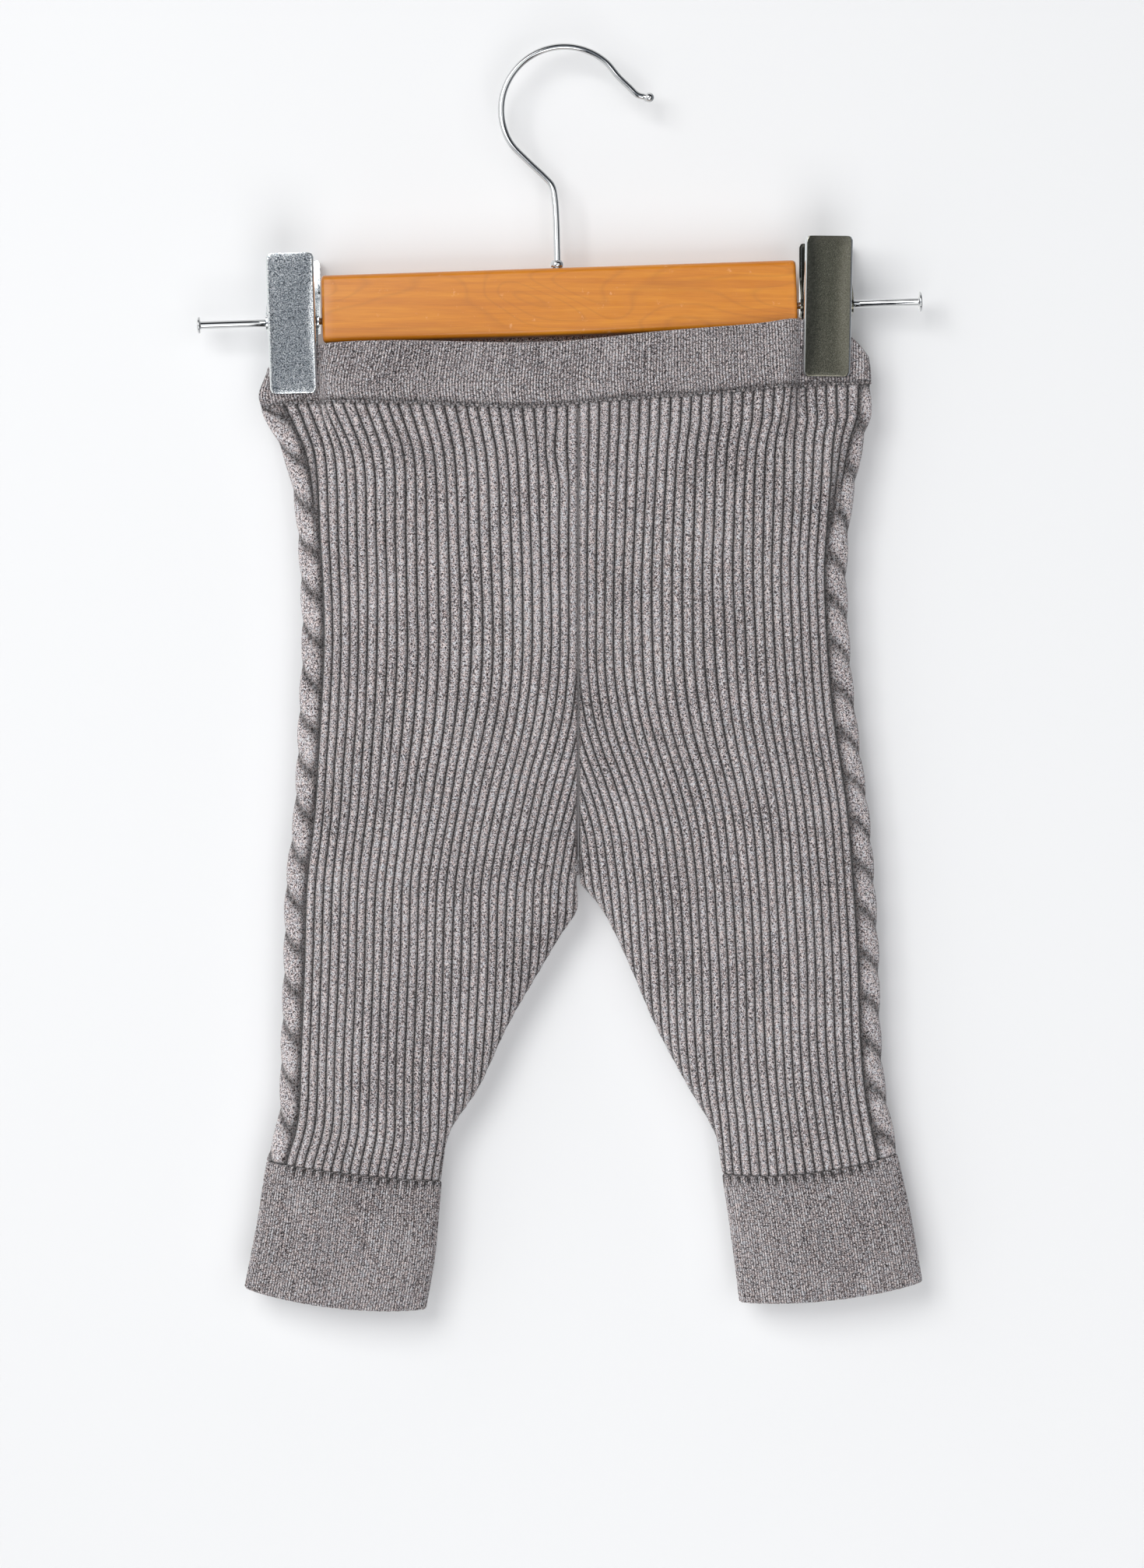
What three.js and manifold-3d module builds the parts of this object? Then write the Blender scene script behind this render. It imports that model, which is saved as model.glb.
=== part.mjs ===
// Baby leggings in broad rib, hung flat by the waistband from a clip hanger.
// Millimetres, +Z up, front faces -Y. The origin is the inner top of the hook, where a rail touches it.

import * as THREE from 'three';
import * as BufferGeometryUtils from 'three/addons/utils/BufferGeometryUtils.js';
import Module from 'manifold-3d';

const wasm = await Module();
wasm.setup();

// Seams and walls
const seamGap = 0.3;
const seamSlack = 0.2;
const bandWall = 2.0;
const legWall = 2.4;
const cuffWall = 2.2;

// Garment: place of the centre seam, and half depths of the flattened tube
const centreX = 5;
const pinchedDepth = 2.35;
const bandDepth = 9;
const bodyDepth = 9.5;
const legDepth = 8;
const hemDepth = 7.5;
const relaxedZ = -205;
const crotchZ = -334;

// The tube's section: how blunt its oval is in the clips and below them, where it grows thinner down the
// leg, and how far the clips' pinch and the slope of the waist seam spread
const pinchedBluntness = 40;
const openBluntness = 3;
const thighZ = -250;
const calfZ = -374;
const taperReach = 90;
const pinchSpread = 6;
const relaxedSpread = 60;
const seamFadeReach = 45;
const outlineSteps = 260;
const nearEdge = 0.05;

// Broad ribs: depth of the valley, and where the two shoulders stand across one rib
const ribDepth = 0.85;
const ribStations = [0, 0.2, 0.8];
const ribToSeam = 0.6;

// Cable down each outer side, measured round the edge from its own middle
const cableHalf = 9.6;
const cableGutter = 0.8;
const cablePull = 0.44;
const cableRepeat = 17.6;
const cableRowsPerRepeat = 4;
const cableDepth = 1.1;
const cableStations = [-1, -0.55, 0, 0.55, 1];

// Rib pitch down the leg: the knit narrows from the stretched waist to the calf
const ribPitch = [
  { z: -133, pitch: 4.35 },
  { z: -175, pitch: 4.1 },
  { z: -205, pitch: 3.95 },
  { z: -245, pitch: 3.85 },
  { z: -290, pitch: 3.6 },
  { z: -335, pitch: 3.5 },
  { z: -420, pitch: 3.5 },
  { z: -452, pitch: 3.75 },
];

// Seam between waistband and legs, across the front
const seamLine = [
  { x: -123, z: -144.2 },
  { x: -105, z: -141.4 },
  { x: -52, z: -142.5 },
  { x: -16, z: -143.8 },
  { x: 18, z: -141 },
  { x: 55, z: -138.6 },
  { x: 95, z: -134.9 },
  { x: 123, z: -133.4 },
];

// Top edge of the waistband in front, and behind the bar
const bandTopFront = [
  { x: -119.7, z: -127.5 },
  { x: -108, z: -120.5 },
  { x: -98, z: -118.5 },
  { x: -2, z: -117.5 },
  { x: 38, z: -113.5 },
  { x: 79, z: -110.1 },
  { x: 93, z: -108.3 },
  { x: 104, z: -110.5 },
  { x: 115, z: -116 },
  { x: 121.5, z: -122.8 },
];
const bandTopBack = [
  { x: -119.7, z: -127.5 },
  { x: -108, z: -121 },
  { x: -98, z: -119 },
  { x: -88, z: -114.5 },
  { x: 0, z: -110.5 },
  { x: 82, z: -108 },
  { x: 92.5, z: -112.5 },
  { x: 115, z: -117 },
  { x: 121.5, z: -122.8 },
];

// Outer edge of each side, from the waistband's ear to the hem
const leftOuter = [
  { z: -120, x: -119 },
  { z: -127.5, x: -119.7 },
  { z: -139, x: -123 },
  { z: -144.2, x: -122 },
  { z: -152, x: -118.5 },
  { z: -163, x: -113.3 },
  { z: -180, x: -109 },
  { z: -205, x: -106.7 },
  { z: -236, x: -105.7 },
  { z: -267, x: -107 },
  { z: -304, x: -108.8 },
  { z: -335, x: -112.2 },
  { z: -366, x: -113 },
  { z: -403, x: -114.2 },
  { z: -428, x: -115.3 },
  { z: -445, x: -120 },
  { z: -465, x: -123 },
  { z: -496, x: -128.7 },
];
const rightOuter = [
  { z: -116, x: 121 },
  { z: -122.8, x: 121.5 },
  { z: -127, x: 122.1 },
  { z: -145, x: 122.3 },
  { z: -155, x: 119.8 },
  { z: -168, x: 117.2 },
  { z: -186, x: 114.2 },
  { z: -211, x: 112.5 },
  { z: -230, x: 113.2 },
  { z: -255, x: 115 },
  { z: -280, x: 117.9 },
  { z: -304, x: 121.2 },
  { z: -329, x: 123.4 },
  { z: -360, x: 125.2 },
  { z: -397, x: 126.3 },
  { z: -416, x: 128 },
  { z: -434, x: 131.4 },
  { z: -465, x: 138 },
  { z: -494, x: 142.9 },
];

// Inner edge of each leg below the crotch
const leftInner = [
  { z: -334, x: 4.85 },
  { z: -345, x: 4.7 },
  { z: -354, x: -1.2 },
  { z: -366, x: -8.4 },
  { z: -391, x: -22.9 },
  { z: -416, x: -34.7 },
  { z: -434, x: -46.3 },
  { z: -447, x: -48.9 },
  { z: -484, x: -52.4 },
  { z: -504, x: -55.7 },
];
const rightInner = [
  { z: -334, x: 5.15 },
  { z: -341, x: 11.7 },
  { z: -348, x: 16.2 },
  { z: -366, x: 24.8 },
  { z: -391, x: 35.6 },
  { z: -416, x: 49 },
  { z: -434, x: 59.3 },
  { z: -447, x: 62 },
  { z: -484, x: 67.3 },
  { z: -502, x: 69.4 },
];

// How the cloth's rows lie: height at the outer edge, at the inner edge, and how far the middle bows down
const leftRows = [
  { outer: -144.2, inner: -142.5, bow: 0 },
  { outer: -205, inner: -205, bow: 0 },
  { outer: -334, inner: -334, bow: 0 },
  { outer: -444.9, inner: -452.7, bow: 1 },
  { outer: -495.8, inner: -504.1, bow: 3.1 },
];
const rightRows = [
  { outer: -133.4, inner: -142.5, bow: 0 },
  { outer: -205, inner: -205, bow: 0 },
  { outer: -334, inner: -334, bow: 0 },
  { outer: -441.8, inner: -449.9, bow: 3.4 },
  { outer: -493.3, inner: -501.3, bow: 2.7 },
];

// Above the crotch the section runs on past the centre seam by this much, where it is cut
const overlap = [
  { z: -268, past: 110 },
  { z: -284, past: 40 },
  { z: -300, past: 16 },
  { z: -316, past: 5 },
  { z: -327, past: 1.2 },
  { z: -334, past: 0 },
];

const clips = {
  left: { x: -109.3, z: -109, tilt: 1.3 },
  right: { x: 104.5, z: -102.2, tilt: -0.6 },
};
const clipReachUp = 26;
const clipReachDown = 29;
const clipHalfWidth = 9.5;
const clipSheet = 0.8;
const clipJawY = 4.05;
const clipTopY = 12;
const clipLipReach = 1.3;
const clipLipHeight = 1.2;
const clipFlange = 1;
const pinchHalfWidth = 10.6;

const sides = {
  left: {
    sign: -1,
    outer: leftOuter,
    inner: leftInner,
    rows: leftRows,
    cuffTop: -444.9,
    hem: -495.8,
    clip: clips.left,
    crease: { place: 0.2, reach: 0.07, depth: 2 },
  },
  right: {
    sign: 1,
    outer: rightOuter,
    inner: rightInner,
    rows: rightRows,
    cuffTop: -441.8,
    hem: -493.3,
    clip: clips.right,
    crease: { place: 0.86, reach: 0.07, depth: 1.4 },
  },
};

// Hanger
const barLength = 190;
const barHeight = 27;
const barThickness = 9;
const barRound = 2.5;
const barCentre = { x: -2.6, z: -101.1 };
const barTilt = 1.87;
const rodRadius = 1.5;
const rodDrop = 4.5;
const rodReach = 145.4;
const rodSeat = 14;
const rodHeads = { left: 3.3, right: 4.1 };
const rodHeadThickness = 1.3;
const springRadius = 3.2;
const earBore = 0.8;
const ear = { neckZ: -4.4, throatZ: -3.4, halfHeight: 3, backY: 2.2, tipY: 3.6, rootZ: 12 };
const springHalf = 7.5;
const springTurns = 6;
const wireRadius = 1.3;
const wireSides = 8;
const hookRadius = 25.3;
const hookCentre = { x: -0.6, z: -24 };
const tipBall = { x: 33.4, z: -19.1, radius: 2 };
const hookFoot = { x: -3.4, z: -99 };
const collar = { z: -87.3, height: 2.8, radius: 2.65 };
const hookBend = [
  [hookFoot.x, hookFoot.z],
  [-3.5, -80],
  [-4.4, -60],
  [-5.6, -54.4],
  [-8.6, -50.9],
  [-15.4, -44.5],
];
const hookArc = { from: 212, to: 32, points: 12 };
const hookTip = [
  [25.6, -15.2],
  [28.6, -18],
  [tipBall.x - 0.6, tipBall.z],
];
const hookSteps = 42;

const cloth = () =>
  new THREE.MeshStandardMaterial({ color: 0x9b9595, roughness: 0.95, metalness: 0, side: THREE.FrontSide });
const wood = new THREE.MeshStandardMaterial({ color: 0xd08a3c, roughness: 0.4, metalness: 0 });
const chrome = () => new THREE.MeshStandardMaterial({ color: 0xc8cbce, roughness: 0.15, metalness: 1 });
const steel = () => new THREE.MeshStandardMaterial({ color: 0x7f8688, roughness: 0.45, metalness: 0.9 });

const mix = THREE.MathUtils.lerp;
const clamp = THREE.MathUtils.clamp;
const smooth = (t) => THREE.MathUtils.smoothstep(t, 0, 1);
const radians = THREE.MathUtils.degToRad;

// Straight interpolation in a table: column `want` where column `by` is `at`
function look(table, by, at, want) {
  const rising = table[table.length - 1][by] > table[0][by];
  const after = table.findIndex((row) => (rising ? row[by] >= at : row[by] <= at));
  if (after === 0) return table[0][want];
  if (after < 0) return table[table.length - 1][want];
  const low = table[after - 1];
  const high = table[after];
  return mix(low[want], high[want], (at - low[by]) / (high[by] - low[by]));
}

// Joins two rows of numbered points, each sorted by its key, into one strip of triangles
function stitch(rowA, rowB) {
  const faces = [];
  let a = 0;
  let b = 0;
  while (a < rowA.length - 1 || b < rowB.length - 1) {
    const moveA = b === rowB.length - 1 || (a < rowA.length - 1 && rowA[a + 1].key <= rowB[b + 1].key);
    if (moveA) {
      faces.push([rowA[a].id, rowA[a + 1].id, rowB[b].id]);
      a += 1;
    } else {
      faces.push([rowA[a].id, rowB[b + 1].id, rowB[b].id]);
      b += 1;
    }
  }
  return faces;
}

const turned = (faces) => faces.map(([a, b, c]) => [a, c, b]);

// A closed mesh, turned as a whole where its faces point inwards
function closedGeometry(points, faces) {
  const corner = (i) => new THREE.Vector3(...points[i]);
  const volume = faces.reduce((sum, [a, b, c]) => sum + corner(a).dot(corner(b).cross(corner(c))), 0);
  const geometry = new THREE.BufferGeometry();
  geometry.setAttribute('position', new THREE.Float32BufferAttribute(points.flat(), 3));
  geometry.setIndex((volume < 0 ? turned(faces) : faces).flat());
  geometry.computeVertexNormals();
  return geometry;
}

// Half depth of the cloth at x where a clip pinches it, fading out away from the jaws
function pinched(x, clip, jawDepth, openDepth, width) {
  const away = (Math.abs(x - clip.x) - pinchHalfWidth) / width;
  const inward = Math.sign(x - clip.x) !== Math.sign(clip.x);
  return inward ? mix(jawDepth, openDepth, Math.sin((Math.PI / 2) * clamp(away, 0, 1))) : jawDepth;
}

// One row of a side's cloth, named by the height of its outer edge: its half outline in front, from the
// outer edge round to the centre seam or inseam, with the length along it
function rowOutline(side, outerZ, inset) {
  const { sign, clip } = side;
  const innerZ = look(side.rows, 'outer', outerZ, 'inner');
  const bow = look(side.rows, 'outer', outerZ, 'bow');
  const topZ = side.rows[0].outer;
  const relax = smooth((topZ - outerZ) / (topZ - relaxedZ));
  const edgeX = look(side.outer, 'z', outerZ, 'x');
  const above = innerZ > crotchZ;
  const past = above ? Math.min(look(overlap, 'z', innerZ, 'past'), Math.abs(edgeX - centreX)) : 0;
  const cutX = above ? centreX + (sign * seamGap) / 2 : look(side.inner, 'z', innerZ, 'x');
  const farX = cutX - sign * past;
  const middle = (edgeX + farX) / 2;
  const halfWidth = Math.abs(edgeX - farX) / 2 - inset;
  const bluntness = mix(pinchedBluntness, openBluntness, Math.sqrt(relax));
  const lowered = smooth((calfZ - outerZ) / taperReach);
  const hips = mix(bandDepth, bodyDepth, relax);
  const legs = mix(legDepth, hemDepth, lowered);
  const openDepth = mix(hips, legs, smooth((thighZ - outerZ) / taperReach));
  const jawDepth = mix(pinchedDepth, openDepth, relax);
  const spread = mix(pinchSpread, relaxedSpread, relax);
  const seamFade = clamp(1 - (topZ - outerZ) / seamFadeReach, 0, 1);

  const height = (x) => {
    const t = clamp((x - edgeX) / (cutX - edgeX), 0, 1);
    const plain = mix(outerZ, innerZ, t) - bow * (1 - (2 * t - 1) ** 2);
    const seam = look(seamLine, 'x', x, 'z') - mix(topZ, side.rows[0].inner, t);
    return plain + seamFade * seam;
  };
  const depth = (x, u) => {
    const open = pinched(x, clip, jawDepth, openDepth, spread) - inset;
    return open * Math.sqrt(Math.max(0, 1 - Math.abs(u) ** bluntness));
  };

  const points = [];
  for (let i = 0; i <= outlineSteps; i += 1) {
    const u = Math.cos((Math.PI * i) / outlineSteps);
    const x = middle + sign * halfWidth * u;
    const y = depth(x, u);
    const beyond = sign * (x - cutX) < 0 || (i > outlineSteps / 2 && y < seamGap / 2);
    if (beyond) break;
    points.push([x, -y]);
  }
  const last = points[points.length - 1];
  const cutU = (cutX - middle) / (sign * halfWidth);
  const end = cutU > -1 ? [cutX, -Math.max(depth(cutX, cutU), seamGap / 2)] : [last[0], -seamGap / 2];
  if (Math.hypot(end[0] - last[0], end[1] - last[1]) < nearEdge) points.pop();
  points.push(end);

  const lengths = [0];
  for (let i = 1; i < points.length; i += 1) {
    lengths.push(lengths[i - 1] + Math.hypot(points[i][0] - points[i - 1][0], points[i][1] - points[i - 1][1]));
  }
  return { points, lengths, length: lengths[lengths.length - 1], height, sign };
}

// Point at arc length s on the front (s < 0) or the back (s > 0) of a row, moved inwards by `sink`
function onOutline(outline, s, sink = 0) {
  const { points, lengths, height, sign } = outline;
  const reach = Math.min(Math.abs(s), outline.length);
  let next = lengths.findIndex((length) => length >= reach);
  if (next < 1) next = 1;
  const part = (reach - lengths[next - 1]) / (lengths[next] - lengths[next - 1]);
  const x = mix(points[next - 1][0], points[next][0], part);
  const y = mix(points[next - 1][1], points[next][1], part);
  const before = points[Math.max(0, next - 2)];
  const after = points[Math.min(points.length - 1, next + 1)];
  const run = Math.hypot(after[0] - before[0], after[1] - before[1]);
  const atEdge = reach < nearEdge;
  const inX = atEdge ? -sign : (sign * (after[1] - before[1])) / run;
  const inY = atEdge ? 0 : (-sign * (after[0] - before[0])) / run;
  const face = s > 0 ? -1 : 1;
  return [x + inX * sink, face * (y + inY * sink), height(x)];
}

// Heights of the outer edge at which a leg panel has a row of rib points, between its two ends
const panelRows = [-170, -215, -268, -290, -310, -325, -334, -348, -375, -405, -430];
const insideColumns = 22;

const wallAt = (side, outerZ) => {
  const topZ = side.rows[0].outer;
  return mix(bandWall, legWall, smooth((topZ - outerZ) / (topZ - relaxedZ)));
};

// How much wider the cable's side is than lower down: the clips pull it out at the waist
const cableWidening = (side, outerZ) => {
  const topZ = side.rows[0].outer;
  return 1 + cablePull * smooth((outerZ - relaxedZ) / (topZ - relaxedZ));
};
const ribStart = (side, outerZ) => (cableHalf + cableGutter) * cableWidening(side, outerZ);

// Rib points of one row on the front (face -1) or the back (face 1), from the cable to the seam,
// keyed by the rib's own number so that ribs that run out fan into the seam
function ribRow(side, outline, outerZ, face) {
  const pitch = look(ribPitch, 'z', outerZ, 'pitch');
  const start = ribStart(side, outerZ);
  const row = [];
  for (let rib = 0; start + rib * pitch < outline.length; rib += 1) {
    for (const station of ribStations) {
      const s = start + (rib + station) * pitch;
      const sink = station === 0 ? ribDepth : 0;
      if (s < outline.length - ribToSeam) row.push({ key: rib + station, at: onOutline(outline, face * s, sink) });
    }
  }
  const seam = onOutline(outline, face * outline.length, ribDepth / 2);
  row.push({ key: (outline.length - start) / pitch, at: seam });
  return row;
}

// Two strands that cross once in each repeat: how far a cable point lies below the strands' crest
function cableSink(side, station, outerZ) {
  if (Math.abs(station) === 1) return cableDepth;
  const phase = outerZ / cableRepeat + 0.5 * station * side.sign;
  return cableDepth * (1 - Math.abs(Math.sin(Math.PI * phase)));
}

// A leg panel: a wall in ribs with a cable at its outer edge, plain inside, open along the centre seam
// above the crotch and closed at the inseam below it
function legPanel(side) {
  const points = [];
  const faces = [];
  const add = (entry) => ({ key: entry.key, id: points.push(entry.at) - 1 });
  const topZ = side.rows[0].outer;
  const rows = [topZ, ...panelRows, side.cuffTop];
  const shift = (at, index, last) => {
    const gap = index === 0 ? -seamGap / 2 : index === last ? seamGap / 2 : 0;
    return [at[0], at[1], at[2] + gap];
  };

  const ribbed = [-1, 1].map((face) =>
    rows.map((outerZ, index) => {
      const outline = rowOutline(side, outerZ, 0);
      return ribRow(side, outline, outerZ, face).map((entry) =>
        add({ key: entry.key, at: shift(entry.at, index, rows.length - 1) }),
      );
    }),
  );
  ribbed.forEach((field, back) => {
    for (let i = 0; i + 1 < field.length; i += 1) {
      const strip = stitch(field[i], field[i + 1]);
      faces.push(...(back ? strip : turned(strip)));
    }
  });

  const cableSteps = Math.round(((topZ - side.cuffTop) / cableRepeat) * cableRowsPerRepeat);
  const cable = [];
  for (let i = 0; i <= cableSteps; i += 1) {
    const outerZ = mix(topZ, side.cuffTop, i / cableSteps);
    const outline = rowOutline(side, outerZ, 0);
    cable.push(
      cableStations.map((station) => {
        const s = station * cableHalf * cableWidening(side, outerZ);
        const at = onOutline(outline, s, cableSink(side, station, outerZ));
        return add({ key: -outerZ, at: shift(at, i, cableSteps) });
      }),
    );
  }
  for (let i = 0; i < cableSteps; i += 1) {
    for (let j = 0; j + 1 < cableStations.length; j += 1) {
      const [a, b, c, d] = [cable[i][j].id, cable[i][j + 1].id, cable[i + 1][j + 1].id, cable[i + 1][j].id];
      faces.push([a, b, c], [a, c, d]);
    }
  }
  ribbed.forEach((field, back) => {
    const border = field.map((row, i) => ({ key: -rows[i], id: row[0].id }));
    const edge = cable.map((row) => row[back ? cableStations.length - 1 : 0]);
    const strip = stitch(border, edge);
    faces.push(...(back ? strip : turned(strip)));
  });

  const inside = rows.map((outerZ, index) => {
    const outline = rowOutline(side, outerZ, wallAt(side, outerZ));
    const row = [];
    for (let j = 0; j <= insideColumns; j += 1) {
      const even = (2 * j) / insideColumns - 1;
      const key = Math.sign(even) * Math.abs(even) ** 1.5;
      const at = onOutline(outline, key * outline.length);
      row.push(add({ key, at: shift(at, index, rows.length - 1) }));
    }
    return row;
  });
  for (let i = 0; i + 1 < inside.length; i += 1) {
    for (let j = 0; j < insideColumns; j += 1) {
      const [a, b, c, d] = [inside[i][j].id, inside[i][j + 1].id, inside[i + 1][j + 1].id, inside[i + 1][j].id];
      faces.push([a, c, b], [a, d, c]);
    }
  }

  // Seam edges, then the top and bottom edges
  ribbed.forEach((field, back) => {
    for (let i = 0; i + 1 < field.length; i += 1) {
      const outer = [field[i].at(-1).id, field[i + 1].at(-1).id];
      const within = [inside[i].at(back ? -1 : 0).id, inside[i + 1].at(back ? -1 : 0).id];
      const strip = [[outer[0], within[0], within[1]], [outer[0], within[1], outer[1]]];
      faces.push(...(back ? strip : turned(strip)));
    }
  });
  [0, rows.length - 1].forEach((index) => {
    const outline = rowOutline(side, rows[index], 0);
    const start = ribStart(side, rows[index]);
    const pitch = look(ribPitch, 'z', rows[index], 'pitch');
    const along = (entry) => (start + entry.key * pitch) / outline.length;
    const front = ribbed[0][index].map((entry) => ({ key: -along(entry), id: entry.id })).reverse();
    const back = ribbed[1][index].map((entry) => ({ key: along(entry), id: entry.id }));
    const cableRow = cable[index === 0 ? 0 : cableSteps].map((entry, j) => ({
      key: (cableStations[j] * cableHalf * cableWidening(side, rows[index])) / outline.length,
      id: entry.id,
    }));
    const strip = stitch([...front, ...cableRow, ...back], inside[index]);
    faces.push(...(index === 0 ? turned(strip) : strip));
  });
  return closedGeometry(points, faces);
}

// A ring of cloth from rows of points: `rows` of outer points and rows of inner points, all of one length
function ringWall(outerRows, innerRows) {
  const columns = outerRows[0].length;
  const points = [...outerRows.flat(), ...innerRows.flat()];
  const faces = [];
  const id = (inner, i, j) => (inner ? outerRows.length * columns : 0) + i * columns + (j % columns);
  const quad = (a, b, c, d) => faces.push([a, b, c], [a, c, d]);
  const last = outerRows.length - 1;
  for (let j = 0; j < columns; j += 1) {
    for (let i = 0; i < last; i += 1) {
      quad(id(0, i, j), id(0, i, j + 1), id(0, i + 1, j + 1), id(0, i + 1, j));
      quad(id(1, i, j), id(1, i + 1, j), id(1, i + 1, j + 1), id(1, i, j + 1));
    }
    quad(id(0, 0, j), id(1, 0, j), id(1, 0, j + 1), id(0, 0, j + 1));
    quad(id(0, last, j), id(0, last, j + 1), id(1, last, j + 1), id(1, last, j));
  }
  return closedGeometry(points, faces);
}

// A cuff: the leg's tube carried on to the hem, with one soft crease in front
function cuff(side) {
  const rowCount = 5;
  const halfColumns = 18;
  const ring = (inset) =>
    Array.from({ length: rowCount }, (_, i) => {
      const outerZ = mix(side.cuffTop, side.hem, i / (rowCount - 1));
      const outline = rowOutline(side, outerZ, inset);
      const drop = i === 0 ? -seamGap / 2 : 0;
      const fade = Math.sin((Math.PI * (i + 0.6)) / rowCount);
      return Array.from({ length: 2 * halfColumns }, (_, j) => {
        const back = j > halfColumns;
        const step = back ? 2 * halfColumns - j : j;
        const t = (1 - Math.cos((Math.PI * step) / halfColumns)) / 2;
        const nearCrease = Math.max(0, 1 - ((t - side.crease.place) / side.crease.reach) ** 2);
        const sink = back ? 0 : side.crease.depth * fade * nearCrease;
        const at = onOutline(outline, (back ? 1 : -1) * t * outline.length, sink);
        const closed = step === 0 || step === halfColumns;
        return [at[0], closed ? 0 : at[1], at[2] + drop];
      });
    });
  return ringWall(ring(0), ring(cuffWall));
}

// The waistband: a ring whose two ends are pressed flat in the clips and whose middle stands open
function waistband() {
  const rowCount = 5;
  const slope = (clipTopY - clipJawY) / (clipReachUp + clipReachDown);
  const fromEdge = [0, 0.5, 2, 5];
  const fromPinch = [0, 1.9, 3.6, 6];
  const middleSteps = 11;
  const stations = (leftX, rightX) => {
    const leftPinch = clips.left.x + pinchHalfWidth;
    const rightPinch = clips.right.x - pinchHalfWidth;
    const open = [leftPinch + fromPinch.at(-1), rightPinch - fromPinch.at(-1)];
    const middle = Array.from({ length: middleSteps - 1 }, (_, i) => mix(open[0], open[1], (i + 1) / middleSteps));
    return [
      ...fromEdge.flatMap((away) => [leftX + away, rightX - away]),
      ...fromPinch.flatMap((away) => [leftPinch + away, rightPinch - away]),
      ...seamLine.slice(1, -1).map((knot) => knot.x),
      ...middle,
    ].sort((a, b) => a - b);
  };
  const ring = (inset) =>
    Array.from({ length: rowCount }, (_, i) => {
      const down = i / (rowCount - 1);
      const edges = [leftOuter, rightOuter].map((outer, right) => {
        const topZ = bandTopFront.at(right ? -1 : 0).z;
        const seamZ = seamLine.at(right ? -1 : 0).z;
        return look(outer, 'z', mix(topZ, seamZ, down), 'x') + (right ? -inset : inset);
      });
      const middle = (edges[0] + edges[1]) / 2;
      const halfWidth = (edges[1] - edges[0]) / 2;
      const xs = stations(edges[0], edges[1]);
      const point = (x, face) => {
        const topLine = face < 0 ? bandTopFront : bandTopBack;
        const z = mix(look(topLine, 'x', x, 'z'), look(seamLine, 'x', x, 'z') + seamGap / 2 + seamSlack, down);
        const depths = [clips.left, clips.right].map((clip) => {
          const lipZ = clip.z - clipReachDown + clipLipHeight;
          const jawDepth = pinchedDepth + Math.max(0, z - lipZ) * slope;
          return pinched(x, clip, jawDepth, bandDepth, fromPinch.at(-1));
        });
        const u = Math.min(1, Math.abs(x - middle) / halfWidth);
        const y = (Math.min(...depths) - inset) * Math.sqrt(1 - u ** pinchedBluntness);
        return [x, face * y, z];
      };
      const front = xs.map((x) => point(x, -1));
      const back = xs.slice(1, -1).reverse().map((x) => point(x, 1));
      return [...front, ...back];
    });
  return ringWall(ring(0), ring(bandWall));
}

// Solids and back again, for joins and cuts
function solidOf(geometry) {
  const bare = geometry.clone();
  bare.deleteAttribute('normal');
  bare.deleteAttribute('uv');
  const merged = BufferGeometryUtils.mergeVertices(bare, 1e-4);
  return new wasm.Manifold(
    new wasm.Mesh({
      numProp: 3,
      vertProperties: new Float32Array(merged.attributes.position.array),
      triVerts: new Uint32Array(merged.index.array),
    }),
  );
}

function geometryOf(solid) {
  const mesh = solid.getMesh();
  const geometry = new THREE.BufferGeometry();
  geometry.setAttribute('position', new THREE.BufferAttribute(new Float32Array(mesh.vertProperties), 3));
  geometry.setIndex(new THREE.BufferAttribute(new Uint32Array(mesh.triVerts), 1));
  geometry.computeVertexNormals();
  return geometry;
}

// A flat shape given by its points in Y and Z, carried along X from -half to half
function sideProfile(outline, half, centre = 0) {
  const shape = new THREE.Shape(outline.map(([y, z]) => new THREE.Vector2(y, z)));
  const geometry = new THREE.ExtrudeGeometry(shape, { depth: 2 * half, bevelEnabled: false });
  geometry.applyMatrix4(new THREE.Matrix4().set(0, 0, 1, centre - half, 1, 0, 0, 0, 0, 1, 0, 0, 0, 0, 0, 1));
  return geometry;
}

const alongX = (radius, length, x, segments = 16) =>
  new THREE.CylinderGeometry(radius, radius, length, segments).rotateZ(Math.PI / 2).translate(x, 0, 0);

// The wooden bar, with a socket in each end for a rod and one on top for the hook's foot
function bar() {
  const wide = barThickness / 2 - barRound;
  const high = barHeight / 2 - barRound;
  const shape = new THREE.Shape();
  shape.absarc(wide, high, barRound, 0, Math.PI / 2);
  shape.absarc(-wide, high, barRound, Math.PI / 2, Math.PI);
  shape.absarc(-wide, -high, barRound, Math.PI, 1.5 * Math.PI);
  shape.absarc(wide, -high, barRound, 1.5 * Math.PI, 2 * Math.PI);
  const outline = shape.getPoints(4).map((point) => [point.x, point.y]);
  let solid = solidOf(sideProfile(outline, barLength / 2));
  for (const end of [-1, 1]) {
    const socket = alongX(rodRadius + seamGap, 2 * (rodSeat + seamGap), (end * barLength) / 2);
    solid = solid.subtract(solidOf(socket.translate(0, 0, -rodDrop)));
  }
  const foot = new THREE.CylinderGeometry(wireRadius + seamGap, wireRadius + seamGap, barHeight, 16);
  foot.rotateX(Math.PI / 2);
  foot.translate(hookFoot.x - barCentre.x, 0, hookFoot.z - barCentre.z + barHeight / 2 - 1);
  foot.rotateY(radians(barTilt));
  return geometryOf(solid.subtract(solidOf(foot)));
}

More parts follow.
